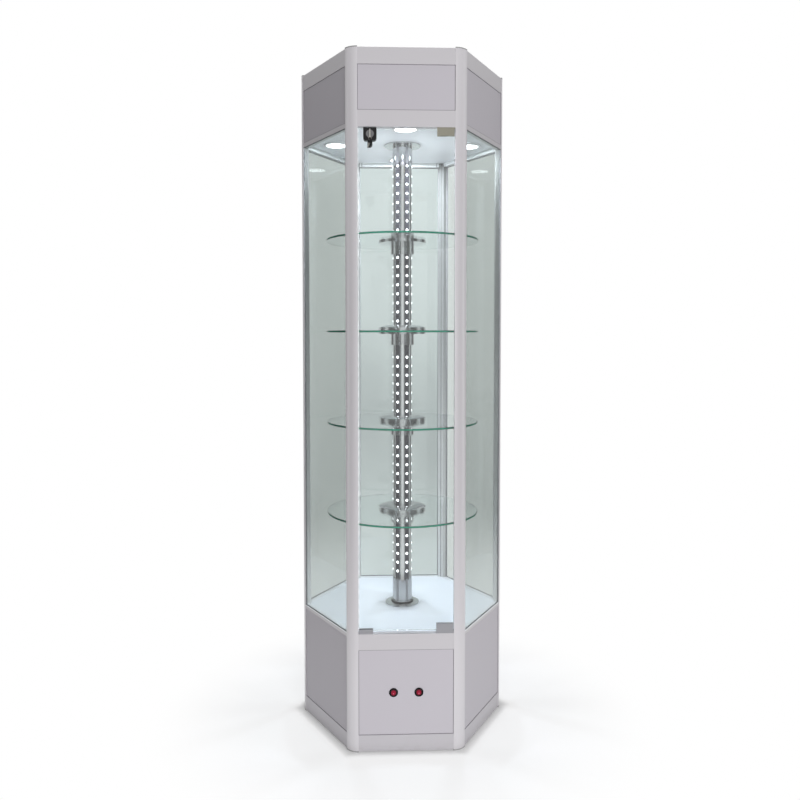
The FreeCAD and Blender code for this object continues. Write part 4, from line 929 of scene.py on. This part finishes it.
def add_prism(shape: bmesh.types.BMesh, outline: list[Pair], low: float, high: float) -> None:
    """Raise an outline on the XY plane into a closed solid.

    Args:
        shape: The shape that it joins.
        outline: X and Y of its corners, in order.
        low: Height of its underside.
        high: Height of its top.
    """
    floor, roof = ([shape.verts.new((x, y, level)) for x, y in outline] for level in (low, high))
    shape.faces.new(floor[::-1])
    shape.faces.new(roof)
    join_loops(shape, [floor, roof])


def add_frame(shape: bmesh.types.BMesh, half: float, heights: Pair, depths: Pair,
              show: float) -> None:
    """Add a flat four-sided frame that stands on edge, centred on X = 0.

    Args:
        shape: The shape that it joins.
        half: Half of its outer width.
        heights: Its lowest and its highest Z.
        depths: Y of its two faces.
        show: Width of its band.
    """
    bottom, top = heights
    loops = []
    for inset in (0.0, show):
        for depth in depths:
            loops.append([shape.verts.new((x, depth, z)) for x, z in (
                (-half + inset, bottom + inset), (half - inset, bottom + inset),
                (half - inset, top - inset), (-half + inset, top - inset))])
    outer_front, outer_back, inner_front, inner_back = loops
    join_loops(shape, [outer_front, inner_front, inner_back, outer_back, outer_front])


class Repeat:
    """A Geometry Nodes tree that repeats a shape, run once into a plain mesh."""

    def __init__(self, name: str) -> None:
        """Start an empty tree.

        Args:
            name: Name of the tree.
        """
        self.tree = bpy.data.node_groups.new(name, "GeometryNodeTree")
        self.board = NodeBoard(self.tree)
        for way in ("INPUT", "OUTPUT"):
            self.tree.interface.new_socket("Geometry", in_out=way,
                                           socket_type="NodeSocketGeometry")
        self.entry = self.board.add("NodeGroupInput")
        self.values: dict[str, Any] = {}

    def value(self, name: str, kind: str, amount: Any) -> bpy.types.NodeSocket:
        """Add a named input.

        Args:
            name: What it sets.
            kind: Type name of its socket.
            amount: Its value.

        Returns:
            The input inside the tree.
        """
        item = self.tree.interface.new_socket(name, in_out="INPUT", socket_type=kind)
        self.values[item.identifier] = amount
        return self.entry.outputs[name]

    def number(self, name: str, amount: float) -> Signal:
        """Add a named number.

        Args:
            name: What it sets.
            amount: Its value.

        Returns:
            Its Signal.
        """
        return Signal(self.board, self.value(name, "NodeSocketFloat", amount))

    def around(self, shape: bpy.types.NodeSocket, turns: Turns) -> bpy.types.NodeSocket:
        """Repeat a shape round the upright axis.

        Args:
            shape: The shape's geometry.
            turns: Its places.

        Returns:
            The repeated geometry.
        """
        add = self.board.add
        points = add("GeometryNodePoints", sockets={
            "Count": self.value("Copies", "NodeSocketInt", turns.count)})
        index = Signal(self.board, add("GeometryNodeInputIndex").outputs[0])
        turn = index * self.number("Turn between", math.radians(turns.step)) \
            + self.number("First turn", math.radians(turns.first))
        spin = add("ShaderNodeCombineXYZ", sockets={2: turn})
        copies = add("GeometryNodeInstanceOnPoints", sockets={
            "Points": points.outputs[0], "Instance": shape, "Rotation": spin.outputs[0]})
        return copies.outputs[0]

    def run(self, source: bpy.types.Mesh, outcome: bpy.types.NodeSocket,
            finish: Finish) -> bpy.types.Mesh:
        """Close the tree and run it on a mesh.

        Args:
            source: The mesh that the tree starts from.
            outcome: The geometry to keep.
            finish: Its finish.

        Returns:
            The repeated shape as a plain mesh.
        """
        real = self.board.add("GeometryNodeRealizeInstances", sockets={0: outcome})
        coated = self.board.add("GeometryNodeSetMaterial", sockets={
            "Geometry": real.outputs[0], "Material": finish.material()})
        self.board.add("NodeGroupOutput", sockets={0: coated.outputs[0]})
        holder = add_to_scene(self.tree.name, source)
        modifier = holder.modifiers.new(self.tree.name, "NODES")
        modifier.node_group = self.tree
        for identifier, amount in self.values.items():
            modifier[identifier] = amount
        graph = bpy.context.evaluated_depsgraph_get()
        mesh = bpy.data.meshes.new_from_object(holder.evaluated_get(graph))
        bpy.data.objects.remove(holder)
        return mesh


def finish_round(shape: bmesh.types.BMesh, turns: Turns, finish: Finish, name: str, body: str) -> None:
    """Repeat a shape round the upright axis and finish it as one piece.

    Args:
        shape: The shape, as it would stand at an angle of 0.
        turns: Its places.
        finish: Its finish.
        name: Name of the piece.
        body: The body that it moves with.
    """
    repeat = Repeat(name)
    around = repeat.around(repeat.entry.outputs["Geometry"], turns)
    finish_piece(repeat.run(to_mesh(shape), around, finish), name, body)


@dataclass
class Screws:
    """Socket screws that share a size and a body, shaped in shares of the head's size."""

    name: str
    body: str
    slot: str
    head_radius: float
    head_height: float
    places: list[tuple[Point, Point]] = field(default_factory=list)
    sides: int = 12
    shoulder: float = 0.6
    crown: float = 0.88
    socket: float = 0.55
    socket_taper: float = 0.98
    socket_floor: float = 0.35

    def add(self, place: Point, facing: Point) -> None:
        """Put a screw in.

        Args:
            place: Middle of the head's seat.
            facing: Direction that the head faces.
        """
        self.places.append((place, facing))

    def head(self) -> bpy.types.Mesh:
        """One head with a six-sided socket, on the XY plane.

        Returns:
            The head's mesh.
        """
        radius, height = self.head_radius, self.head_height
        crown, socket, floor = (radius * self.crown, radius * self.socket,
                                height * self.socket_floor)
        shape = lathe([(0, 0), (radius, 0), (radius, height * self.shoulder), (crown, height),
                       (socket, height), (socket * self.socket_taper, floor), (0, floor)],
                      self.sides)
        for vertex in shape.verts:
            if 0 < vertex.co.xy.length < (crown + socket) / 2:
                off = math.atan2(vertex.co.y, vertex.co.x) % SIXTH
                vertex.co.xy *= math.cos(SIXTH / 2) / math.cos(off - SIXTH / 2)
        return to_mesh(shape)

    def build(self) -> None:
        """All the screws as one piece."""
        seats = bpy.data.meshes.new("seats")
        seats.from_pydata([place for place, _ in self.places], [], [])
        facing = seats.attributes.new("facing", "FLOAT_VECTOR", "POINT")
        facing.data.foreach_set("vector", [value for _, way in self.places for value in way])
        helper = bpy.data.objects.new("screw_head", self.head())
        repeat = Repeat(self.name)
        add = repeat.board.add
        head = add("GeometryNodeObjectInfo", sockets={
            "Object": repeat.value("Head", "NodeSocketObject", helper)})
        way = add("GeometryNodeInputNamedAttribute", {"data_type": "FLOAT_VECTOR"},
                  {"Name": "facing"})
        turn = add("FunctionNodeAlignRotationToVector", {"axis": "Z"},
                   {"Vector": way.outputs["Attribute"]})
        copies = add("GeometryNodeInstanceOnPoints", sockets={
            "Points": repeat.entry.outputs["Geometry"], "Instance": head.outputs["Geometry"],
            "Rotation": turn.outputs[0]})
        mesh = repeat.run(seats, copies.outputs[0], SCREW_STEEL)
        bpy.data.objects.remove(helper)
        finish_piece(mesh, self.name, self.body)


# ---------------------------------------------------------------- the cabinet

@dataclass(frozen=True)
class Plan:
    """Main places of the cabinet, read from its solids."""

    sill: float
    head: float
    opening_half: float
    column: float
    shelf_lowest: float
    shelf_pitch: float

    @classmethod
    def read(cls) -> "Plan":
        """Read the plan from the frame.

        Returns:
            The plan.
        """
        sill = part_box("base_upper_rail")[1]
        shelves = [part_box("shelf_glass_%d" % number) for number in (1, 2)]
        lowest, second = ((low.z + high.z) / 2 for low, high in shelves)
        return cls(sill=sill.z, head=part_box("header_lower_rail")[0].z, opening_half=sill.x,
                   column=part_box("column_tube")[1].x, shelf_lowest=lowest,
                   shelf_pitch=second - lowest)


@dataclass
class Structure:
    """Posts, rails, trims, panels and boards."""

    plan: Plan
    joint_show: float = 0.0016
    joint_rise: float = 0.0004

    def build(self) -> None:
        """Dress the structure and lay the joints round its panels."""
        dress(ALUMINIUM_UPRIGHT, "post_right", "post_rear_right", "post_rear_left", "post_left",
              "post_front_left", "post_front_right")
        dress(ALUMINIUM_LEVEL, "top_rails", "header_lower_rail", "base_upper_rail")
        dress(ALUMINIUM_TRIM, "glass_edge_trims")
        dress(ALUMINIUM_KICK, "kick_rails")
        dress(CAP_GREY, "post_end_caps")
        dress(PANEL, "front_header_panel", "side_header_panels", "base_front_panel",
              "base_side_panels")
        dress(BOARD, "floor_board", "deck_board", "ceiling_board", "roof_board")
        dress(BRACKET, "board_brackets")
        dress(RUBBER, "cable_grommet")
        self.panel_joints()

    def panel_joints(self) -> None:
        """A thin dark joint where each panel meets the rails and posts round it."""
        kick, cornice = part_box("kick_rails")[1].z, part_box("top_rails")[0].z
        under_door, over_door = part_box("base_upper_rail")[0].z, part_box("header_lower_rail")[1].z
        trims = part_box("glass_edge_trims")
        depth = -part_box("front_header_panel")[0].y
        for name, turns, heights in (
                ("front_panel_joints", DOOR_SIDE, ((kick, under_door), (over_door, cornice))),
                ("side_panel_joints", GLASS_SIDES, ((kick, trims[0].z), (trims[1].z, cornice)))):
            shape = bmesh.new()
            for levels in heights:
                add_frame(shape, self.plan.opening_half, levels,
                          (depth, depth + self.joint_rise), self.joint_show)
            finish_round(shape, turns, PANEL_JOINT, name, "cabinet")


@dataclass
class Glazing:
    """The fixed panes with their seals."""

    plan: Plan
    seal_show: float = 0.0016
    seal_proud: float = 0.0009

    def build(self) -> None:
        """Dress the panes and run a seal round both faces of each."""
        dress(PANE_GLASS, *("glass_pane_" + side for side in SIDES if side != "rear"))
        dress(REAR_GLASS, "glass_pane_rear")
        low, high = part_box("glass_pane_rear")
        seals = bmesh.new()
        for depths in ((low.y - self.seal_proud, low.y), (high.y, high.y + self.seal_proud)):
            add_frame(seals, self.plan.opening_half, (self.plan.sill, self.plan.head), depths,
                      self.seal_show)
        finish_round(seals, GLASS_SIDES, SEAL, "glazing_seals", "cabinet")


@dataclass
class SpareKey:
    """A key that hangs on a ring: a moulded head round the ring, and a toothed blade."""

    ring_gap: float = 0.0035
    turn: float = 12.0
    lean: float = 14.0
    head_halves: Pair = (0.0065, 0.006)
    head_arc: tuple[int, int, int] = (-60, 241, 20)
    head_gauge: float = 0.0022
    blade_half: float = 0.0022
    blade_top: float = -0.0052
    blade_tip: tuple[Pair, ...] = ((-0.0022, -0.0185), (-0.0008, -0.0200), (0.0010, -0.0200))
    blade_gauge: float = 0.0014
    tooth_count: int = 4
    tooth_first: float = -0.0178
    tooth_pitch: float = 0.0028
    tooth_root: float = 0.0013

    def head(self) -> list[Pair]:
        """Outline of the head, open where the blade comes out.

        Returns:
            X and Y of its corners, in order.
        """
        across, along = self.head_halves
        return [(across * math.cos(math.radians(angle)), along * math.sin(math.radians(angle)))
                for angle in range(*self.head_arc)]

    def blade(self) -> list[Pair]:
        """Outline of the blade, down its back and up its teeth.

        Returns:
            X and Y of its corners, in order.
        """
        outline = [(-self.blade_half, self.blade_top), *self.blade_tip]
        for tooth in range(self.tooth_count):
            level = self.tooth_first + tooth * self.tooth_pitch
            outline += [(self.blade_half, level),
                        (self.tooth_root, level + self.tooth_pitch / 2)]
        return [*outline, (self.blade_half, self.blade_top)]

    def build(self, place: Vector) -> None:
        """Make the key's two pieces.

        Args:
            place: Lowest point of the ring.
        """
        stand = Matrix.Translation(place) \
            @ Matrix.Rotation(math.radians(self.turn), 4, "Z") \
            @ Matrix.Rotation(math.radians(self.lean), 4, "Y") \
            @ Matrix.Translation((0, 0, -self.ring_gap)) \
            @ Matrix.Rotation(math.radians(90), 4, "X")
        for name, outline, gauge, finish in (
                ("spare_key_head", self.head(), self.head_gauge, LOCK_BLACK),
                ("spare_key_blade", self.blade(), self.blade_gauge, KEY_STEEL)):
            shape = bmesh.new()
            add_prism(shape, outline, -gauge / 2, gauge / 2)
            shape.transform(stand)
            finish_piece(to_mesh(shape, finish), name, "lock")


@dataclass
class Door:
    """The door glass with its pivots, lock, keys, edge strip and catch.

    The halves of the ring's wire, outwards and along, are shares of its gauge, and the places of
    the patch screws are shares of the patch's width.
    """

    plan: Plan
    strip_cover: float = 0.0012
    strip_gauge: float = 0.0006
    strip_gap: float = 0.001
    key_hole: Pair = (0.004, 0.0044)
    ring_drop: float = 0.0012
    ring_radius: float = 0.0045
    ring_wire: float = 0.0008
    ring_tilt: float = 28.0
    ring_steps: int = 32
    wire_steps: int = 8
    wire_halves: Pair = (0.5, 0.52)
    patch_screw_shares: Pair = (0.2, 0.55)

    def build(self) -> None:
        """Dress the door, clip on its edge strip and hang the spare key on its ring."""
        dress(DOOR_GLASS, "door_glass")
        dress(SATIN_PATCH, "hinge_patch_top", "hinge_pivot_top")
        dress(SATIN_STEEL, "hinge_patch_bottom", "hinge_pivot_bottom", "strike_clip",
              "magnet_catch")
        dress(LOCK_BLACK, "lock_case")
        dress(BARREL_CHROME, "lock_barrel")
        dress(KEY_STEEL, "lock_key")
        dress(CAM_ZINC, "lock_cam")
        self.edge_strip()
        middle = self.ring_middle()
        self.key_ring(middle)
        SpareKey().build(middle - Vector((0, 0, self.ring_radius)))
        self.patch_screws()

    def edge_strip(self) -> None:
        """A clear U-shaped strip on the free edge of the glass, above the strike clip, with painted
        reflections of the light dots.
        """
        low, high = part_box("door_glass")
        bottom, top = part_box("strike_clip")[1].z + self.strip_gap, high.z - self.strip_gap
        gauge, edge, cover = self.strip_gauge, low.x, low.x + self.strip_cover
        section = [(edge - gauge, low.y - gauge), (cover, low.y - gauge), (cover, low.y),
                   (edge, low.y), (edge, high.y), (cover, high.y), (cover, high.y + gauge),
                   (edge - gauge, high.y + gauge)]
        shape = bmesh.new()
        add_prism(shape, section, bottom, top)
        finish_piece(to_mesh(shape, EDGE_STRIP), "door_edge_strip", "door")

    def ring_middle(self) -> Vector:
        """Middle of the ring that hangs in the hole of the key in the lock.

        Returns:
            The place, in metres.
        """
        low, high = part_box("lock_key")
        inset, rise = self.key_hole
        hole = Vector(((low.x + high.x) / 2, low.y + inset, low.z + rise))
        return hole - Vector((0, 0, self.ring_radius + self.ring_drop))

    def key_ring(self, middle: Vector) -> None:
        """Make the split ring, with the two turns of its wire side by side.

        Args:
            middle: Its middle.
        """
        shape = bmesh.new()
        out, along = self.wire_halves
        for side in (-0.5, 0.5):
            loops = []
            for step in range(self.ring_steps):
                loop = []
                for part in range(self.wire_steps):
                    turn = 2 * math.pi * part / self.wire_steps
                    x, z = on_circle(self.ring_radius + self.ring_wire * out * math.cos(turn),
                                     2 * math.pi * step / self.ring_steps)
                    y = self.ring_wire * (side + along * math.sin(turn))
                    loop.append(shape.verts.new((x, y, z)))
                loops.append(loop)
            join_loops(shape, loops + loops[:1])
        shape.transform(Matrix.Translation(middle)
                        @ Matrix.Rotation(math.radians(self.ring_tilt), 4, "Z"))
        finish_piece(to_mesh(shape, KEY_STEEL, smooth=60), "key_ring", "lock")

    def patch_screws(self) -> None:
        """Two flat screws in the inner face of each hinge patch."""
        screws = Screws("patch_screws", "door", "patch_steel", head_radius=0.0026,
                        head_height=0.0003)
        for name in ("hinge_patch_bottom", "hinge_patch_top"):
            low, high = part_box(name)
            for share in self.patch_screw_shares:
                screws.add((low.x + (high.x - low.x) * share, high.y, (low.z + high.z) / 2),
                           (0.0, 1.0, 0.0))
        screws.build()


@dataclass
class Column:
    """The turning column with its shelves, foot, light strips and light dots.

    The section of the foot ring is in shares of its gauge, and the profile of a dot in shares of
    its radius and height.
    """

    plan: Plan
    shelves: tuple[int, ...] = (1, 2, 3, 4)
    foot_collar: float = 0.033
    foot_collar_top: float = 0.0115
    foot_plate: float = 0.0065
    ring_gauge: float = 0.0022
    ring_bite: float = 0.0005
    ring_steps: int = 64
    ring_section: tuple[Pair, ...] = ((0.6, -1.0), (1.0, -0.4), (1.0, 0.5), (0.5, 1.0))
    cover_rise: float = 0.0003
    cover_bite: float = 0.0001
    cover_lap: float = 0.005
    cover_gap: float = 0.0005
    cover_arc: tuple[int, int, int] = (-8, 9, 2)
    dot_pitch: float = DOT_PITCH
    dot_radius: float = 0.0039
    dot_height: float = 0.001
    dot_steps: int = 12
    dot_profile: tuple[Pair, ...] = ((0, 0), (1, 0), (1, 0.35), (0.8, 0.8), (0.4, 1), (0, 1))
    dot_bite: float = 0.0002
    dot_top_inset: float = 0.0115
    dot_end_inset: float = 0.026
    strip_recess: float = 0.0009
    hidden_below: float = 0.052
    hidden_above: float = 0.029
    collar_radius: float = 0.037
    collar_screw_rise: float = 0.012

    def build(self) -> None:
        """Dress the column and set the light dots in its strips."""
        dress(SHELF_GLASS, *("shelf_glass_%d" % number for number in self.shelves))
        dress(TUBE_CHROME, "column_tube")
        dress(CHROME, "column_foot", "shelf_collars", "shelf_caps")
        dress(BUSH_CHROME, "ceiling_bush")
        dress(STRIP_GREY, "led_strips")
        self.foot_ring()
        self.channel_covers()
        self.light_dots()
        self.collar_screws()

    def foot_ring(self) -> None:
        """A black ring round the collar of the foot, where it meets the plate."""
        base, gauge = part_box("column_foot")[0].z + self.foot_plate, self.ring_gauge
        corners = [(-self.ring_bite, -gauge),
                   *((gauge * out, gauge * up) for out, up in self.ring_section),
                   (-self.ring_bite, gauge)]
        shape = lathe([(self.foot_collar + out, base + up) for out, up in corners],
                      self.ring_steps, closed=True)
        finish_piece(to_mesh(shape, RUBBER), "foot_ring", "column")

    def channel_covers(self) -> None:
        """Thin covers over the wires above and below each light strip."""
        low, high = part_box("led_strips")
        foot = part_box("column_foot")[0].z + self.foot_collar_top
        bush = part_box("ceiling_bush")[0].z
        angles = [math.radians(angle) for angle in range(*self.cover_arc)]
        outline = [on_circle(self.plan.column + self.cover_rise, angle) for angle in angles]
        outline += [on_circle(self.plan.column - self.cover_bite, angle)
                    for angle in reversed(angles)]
        shape = bmesh.new()
        for bottom, top in ((foot + self.cover_gap, low.z + self.cover_lap),
                            (high.z - self.cover_lap, bush - self.cover_gap)):
            add_prism(shape, outline, bottom, top)
        finish_round(shape, STRIPS, CHANNEL_GREY, "channel_covers", "column")

    def light_dots(self) -> None:
        """Rows of light dots, left out where a collar or cap covers the strip."""
        plan = self.plan
        low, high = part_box("led_strips")
        seat = plan.column - self.strip_recess - self.dot_bite
        length = high.z - low.z - self.dot_top_inset - self.dot_end_inset
        repeat = Repeat("light_dots")
        add = repeat.board.add
        start = add("ShaderNodeCombineXYZ", sockets={
            0: repeat.number("Seat", seat), 2: repeat.number("Top", high.z - self.dot_top_inset)})
        step = add("ShaderNodeCombineXYZ", sockets={2: repeat.number("Pitch", -self.dot_pitch)})
        row = add("GeometryNodeMeshLine", sockets={
            "Count": repeat.value("Dots", "NodeSocketInt", int(length / self.dot_pitch) + 1),
            "Start Location": start.outputs[0], "Offset": step.outputs[0]})
        height = repeat.board.split(add("GeometryNodeInputPosition").outputs[0])[2]
        below = repeat.number("Hidden below shelf", self.hidden_below)
        above = repeat.number("Hidden above shelf", self.hidden_above)
        phase = (height - repeat.number("Lowest shelf", plan.shelf_lowest) + below) \
            % repeat.number("Shelf pitch", plan.shelf_pitch)
        kept = add("GeometryNodeDeleteGeometry", {"domain": "POINT"}, {
            "Geometry": row.outputs[0], "Selection": phase < below + above})
        dots = add("GeometryNodeInstanceOnPoints", sockets={
            "Points": kept.outputs[0], "Instance": repeat.entry.outputs["Geometry"],
            "Rotation": (0.0, math.radians(90), 0.0)})
        dome = lathe([(self.dot_radius * out, self.dot_height * up)
                      for out, up in self.dot_profile], self.dot_steps)
        mesh = repeat.run(to_mesh(dome, smooth=60), repeat.around(dots.outputs[0], STRIPS),
                          LIGHT_DOT)
        finish_piece(mesh, "light_dots", "column")

    def collar_screws(self) -> None:
        """Socket screws that pinch each collar on the tube."""
        screws = Screws("collar_screws", "column", "column_chrome", head_radius=0.0026,
                        head_height=0.0008)
        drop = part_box("shelf_glass_1")[0].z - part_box("shelf_collars")[0].z \
            - self.collar_screw_rise
        for number in self.shelves:
            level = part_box("shelf_glass_%d" % number)[0].z - drop
            for angle in PINCH_SCREWS.angles():
                screws.add((*on_circle(self.collar_radius, angle), level),
                           (*on_circle(1.0, angle), 0.0))
        screws.build()


@dataclass
class Equipment:
    """Downlights, switches and the drive in the base."""

    plan: Plan

    def build(self) -> None:
        """Dress the lights, switches and drive."""
        dress(RIM_WHITE, "downlight_rims")
        dress(LENS, "downlight_lenses")
        dress(SWITCH_BLACK, "switch_housings")
        dress(ROCKER_RED, "light_rocker", "motor_rocker")
        dress(SPINDLE_STEEL, "drive_spindle", "motor_shaft")
        dress(BEARING_IRON, "lower_bearing")
        dress(BRACKET, "motor_bracket")
        dress(MOTOR_GREY, "gear_motor")
        dress(RING_BLACK, "slip_ring")
        dress(DRIVER_WHITE, "led_driver")


# ---------------------------------------------------------------- studio

@dataclass(frozen=True)
class SoftBox:
    """A soft lamp, round where it has no height."""

    name: str
    place: Point
    aim: Point
    power: float
    width: float
    height: float | None = None
    colour: Colour = (1.0, 1.0, 1.0)
    mirrored: bool = False

    def build(self) -> None:
        """Hang the lamp, hidden from the camera."""
        lamp = bpy.data.lights.new(self.name, "AREA")
        lamp.shape = "RECTANGLE" if self.height else "DISK"
        lamp.size = self.width
        if self.height:
            lamp.size_y = self.height
        lamp.energy = self.power
        lamp.color = self.colour
        stand = add_to_scene(self.name, lamp)
        stand.location = self.place
        stand.rotation_euler = (Vector(self.aim) - stand.location).to_track_quat(
            "-Z", "Y").to_euler()
        stand.visible_camera = False
        stand.visible_glossy = self.mirrored
        stand.visible_transmission = False


@dataclass
class Studio:
    """Floor, surroundings, lamps and camera."""

    plan: Plan
    lamps: tuple[SoftBox, ...] = (
        SoftBox("key_light", (0.9, -4.3, 1.25), (0.0, 0.0, 1.0), 143.0, 1.8, 1.8),
        SoftBox("overhead_light", (0.0, -0.3, 4.6), (0.0, -0.3, 0.0), 26.0, 4.6, 4.6,
                mirrored=True),
        SoftBox("rear_fill", (-0.5, 4.3, 1.3), (0.0, 0.0, 1.0), 62.0, 2.0, 2.0))
    strip_lamp_gap: float = 0.003
    strip_lamp_width: float = 0.008
    strip_colour: Colour = (0.94, 0.97, 1.0)
    strip_power: float = 1.3
    lens_radius: float = 0.031
    lens_gap: float = 0.002
    downlight_width: float = 0.05
    downlight_colour: Colour = (0.89, 0.93, 1.0)
    downlight_powers: tuple[tuple[int, int, float], ...] = (
        (0, -1, 3.0), (1, 0, 6.4), (0, 1, 6.6), (-1, 0, 5.2))
    ambient: float = 0.11
    band_count: int = 4
    band_range: Pair = (0.1, 0.9)
    band_dark: float = 0.17
    behind_range: Pair = (0.55, 0.85)
    steep_range: Pair = (0.15, 0.4)
    floor_radius: float = 14.0
    floor_colour: Colour = (0.96, 0.96, 0.96)
    floor_bounce: Pair = (0.6, 0.1)
    bounce_range: Pair = (0.8, 2.4)
    mirror_range: Pair = (0.9, 3.2)
    white_range: Pair = (0.4, 0.8)
    floor_white: float = 0.7
    # Reach and strength of the painted contact shadow along the base.
    contact_shadow_range: Pair = (0.275, 0.31)
    contact_shadow_strength: float = 0.55
    camera_place: Point = (-0.1031, -2.4911, 1.2033)
    camera_yaw: float = 2.2
    camera_pitch: float = 2.5
    camera_lens: float = 35.379
    camera_rise: float = -0.04

    def build(self) -> None:
        """Set up the studio."""
        bpy.context.scene.view_settings.view_transform = "Standard"
        self.floor()
        self.surroundings()
        for lamp in (*self.lamps, *self.strip_lamps(), *self.downlight_lamps()):
            lamp.build()
        self.camera()

    def strip_lamps(self) -> list[SoftBox]:
        """The lamps that stand for the light dots of the six strips.

        Returns:
            A lamp for each strip.
        """
        low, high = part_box("led_strips")
        level, reach = (low.z + high.z) / 2, self.plan.column + self.strip_lamp_gap
        return [SoftBox("strip_%d" % number, (*on_circle(reach, angle), level),
                        (*on_circle(1.0, angle), level), self.strip_power,
                        self.strip_lamp_width, high.z - low.z, self.strip_colour)
                for number, angle in enumerate(STRIPS.angles())]

    def downlight_lamps(self) -> list[SoftBox]:
        """The lamps behind the four downlight lenses.

        Returns:
            A lamp for each lens.
        """
        low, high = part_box("downlight_lenses")
        radius, bottom = (high.x - low.x) / 2 - self.lens_radius, low.z - self.lens_gap
        return [SoftBox("downlight_%d" % number, (radius * x, radius * y, bottom),
                        (radius * x, radius * y, 0.0), power, self.downlight_width,
                        colour=self.downlight_colour)
                for number, (x, y, power) in enumerate(self.downlight_powers, 1)]

    def floor(self) -> None:
        """A pale floor that keeps the shadow of the cabinet, darkened along the base by a painted
        contact shadow, and fades into the white.
        """
        shape = bmesh.new()
        bmesh.ops.create_circle(shape, cap_ends=True, segments=96, radius=self.floor_radius)
        mesh = bpy.data.meshes.new("floor")
        shape.to_mesh(mesh)
        shape.free()
        material = bpy.data.materials.new("studio_floor")
        board = NodeBoard.blank(material)
        scattered = Signal(board, board.add("ShaderNodeLightPath").outputs["Is Diffuse Ray"])
        x, y, _ = board.split(board.point())
        reach = x.reach(y)
        near, far = ((level,) * 3 for level in self.floor_bounce)
        bounce = board.blend(reach.ramp(*self.bounce_range), near, far)
        lit = board.add("ShaderNodeBsdfDiffuse", sockets={
            "Color": board.blend(scattered, self.floor_colour, bounce)})
        mirrored = self.mirrored(x, y, 1 - reach.ramp(*self.mirror_range))
        seen = 1 - self.mirror_share(board) * (1 - mirrored)
        shade = board.add("ShaderNodeCombineXYZ", sockets={0: seen, 1: seen, 2: seen})
        white = board.add("ShaderNodeEmission", sockets={
            "Color": board.blend(scattered, shade.outputs[0], bounce)})
        # Painted contact shadow: less white along the base, so that the darker lit floor shows there.
        painted_contact_shadow = (1 - board.depth().ramp(*self.contact_shadow_range)) * self.contact_shadow_strength
        share = reach.ramp(*self.white_range) * (1 - self.floor_white) + self.floor_white - painted_contact_shadow
        board.add("ShaderNodeOutputMaterial", sockets={
            "Surface": board.mix(share, lit.outputs[0], white.outputs[0])})
        mesh.materials.append(material)
        floor = add_to_scene("floor", mesh)

    def surroundings(self) -> None:
        """White surroundings to the eye, with soft darker bands in what metal mirrors."""
        world = bpy.data.worlds.new("studio")
        bpy.context.scene.world = world
        board = NodeBoard.blank(world)
        path = board.add("ShaderNodeLightPath").outputs
        x, y, z = board.split(board.add("ShaderNodeTexCoord").outputs["Generated"])
        mirrored = self.mirrored(x, y, abs(z).ramp(*self.steep_range))
        seen = Signal(board, path["Is Camera Ray"]) + Signal(board, path["Is Transmission Ray"])
        bounced = self.mirror_share(board)
        direct = seen + (1 - seen) * self.ambient
        strength = bounced * mirrored + (1 - bounced) * direct
        white = board.add("ShaderNodeBackground", sockets={
            "Color": (1.0, 1.0, 1.0, 1.0), "Strength": strength})
        board.add("ShaderNodeOutputWorld", sockets={0: white.outputs[0]})

    def mirrored(self, x: Signal, y: Signal, steep: Signal) -> Signal:
        """What metal and glass mirror: white behind, with darker upright bands elsewhere.

        Args:
            x: X of the place or direction.
            y: Its Y.
            steep: 1 high up and low down, where it is all white, 0 on the level.

        Returns:
            The strength of the white.
        """
        bands = (x.bearing(y) * self.band_count).cosine().ramp(*self.band_range)
        behind = (y / x.reach(y)).ramp(*self.behind_range)
        white = bands + behind - bands * behind
        return 1 - (1 - white) * (1 - steep) * (1 - self.band_dark)

    @staticmethod
    def mirror_share(board: NodeBoard) -> Signal:
        """1 for rays that metal or glass has mirrored and no matt surface has scattered.

        Args:
            board: The tree of the floor or of the world.

        Returns:
            The share.
        """
        path = board.add("ShaderNodeLightPath").outputs
        glossy = Signal(board, path["Glossy Depth"]) > 0.5
        return glossy * (Signal(board, path["Diffuse Depth"]) < 0.5)

    def camera(self) -> None:
        """A camera before the door, a little to its left."""
        data = bpy.data.cameras.new("camera")
        data.lens = self.camera_lens
        data.shift_y = self.camera_rise
        camera = add_to_scene("camera", data)
        camera.location = self.camera_place
        camera.rotation_euler = (math.radians(90 - self.camera_pitch), 0,
                                 -math.radians(self.camera_yaw))
        bpy.context.scene.camera = camera


def main() -> None:
    """Build every assembly in turn, then the studio."""
    logging.basicConfig(level=logging.INFO, format="%(message)s")
    plan = Plan.read()
    for assembly in (Structure, Glazing, Door, Column, Equipment, Studio):
        LOG.info("-- %s", assembly.__name__)
        assembly(plan).build()


if __name__ == "__main__":
    main()
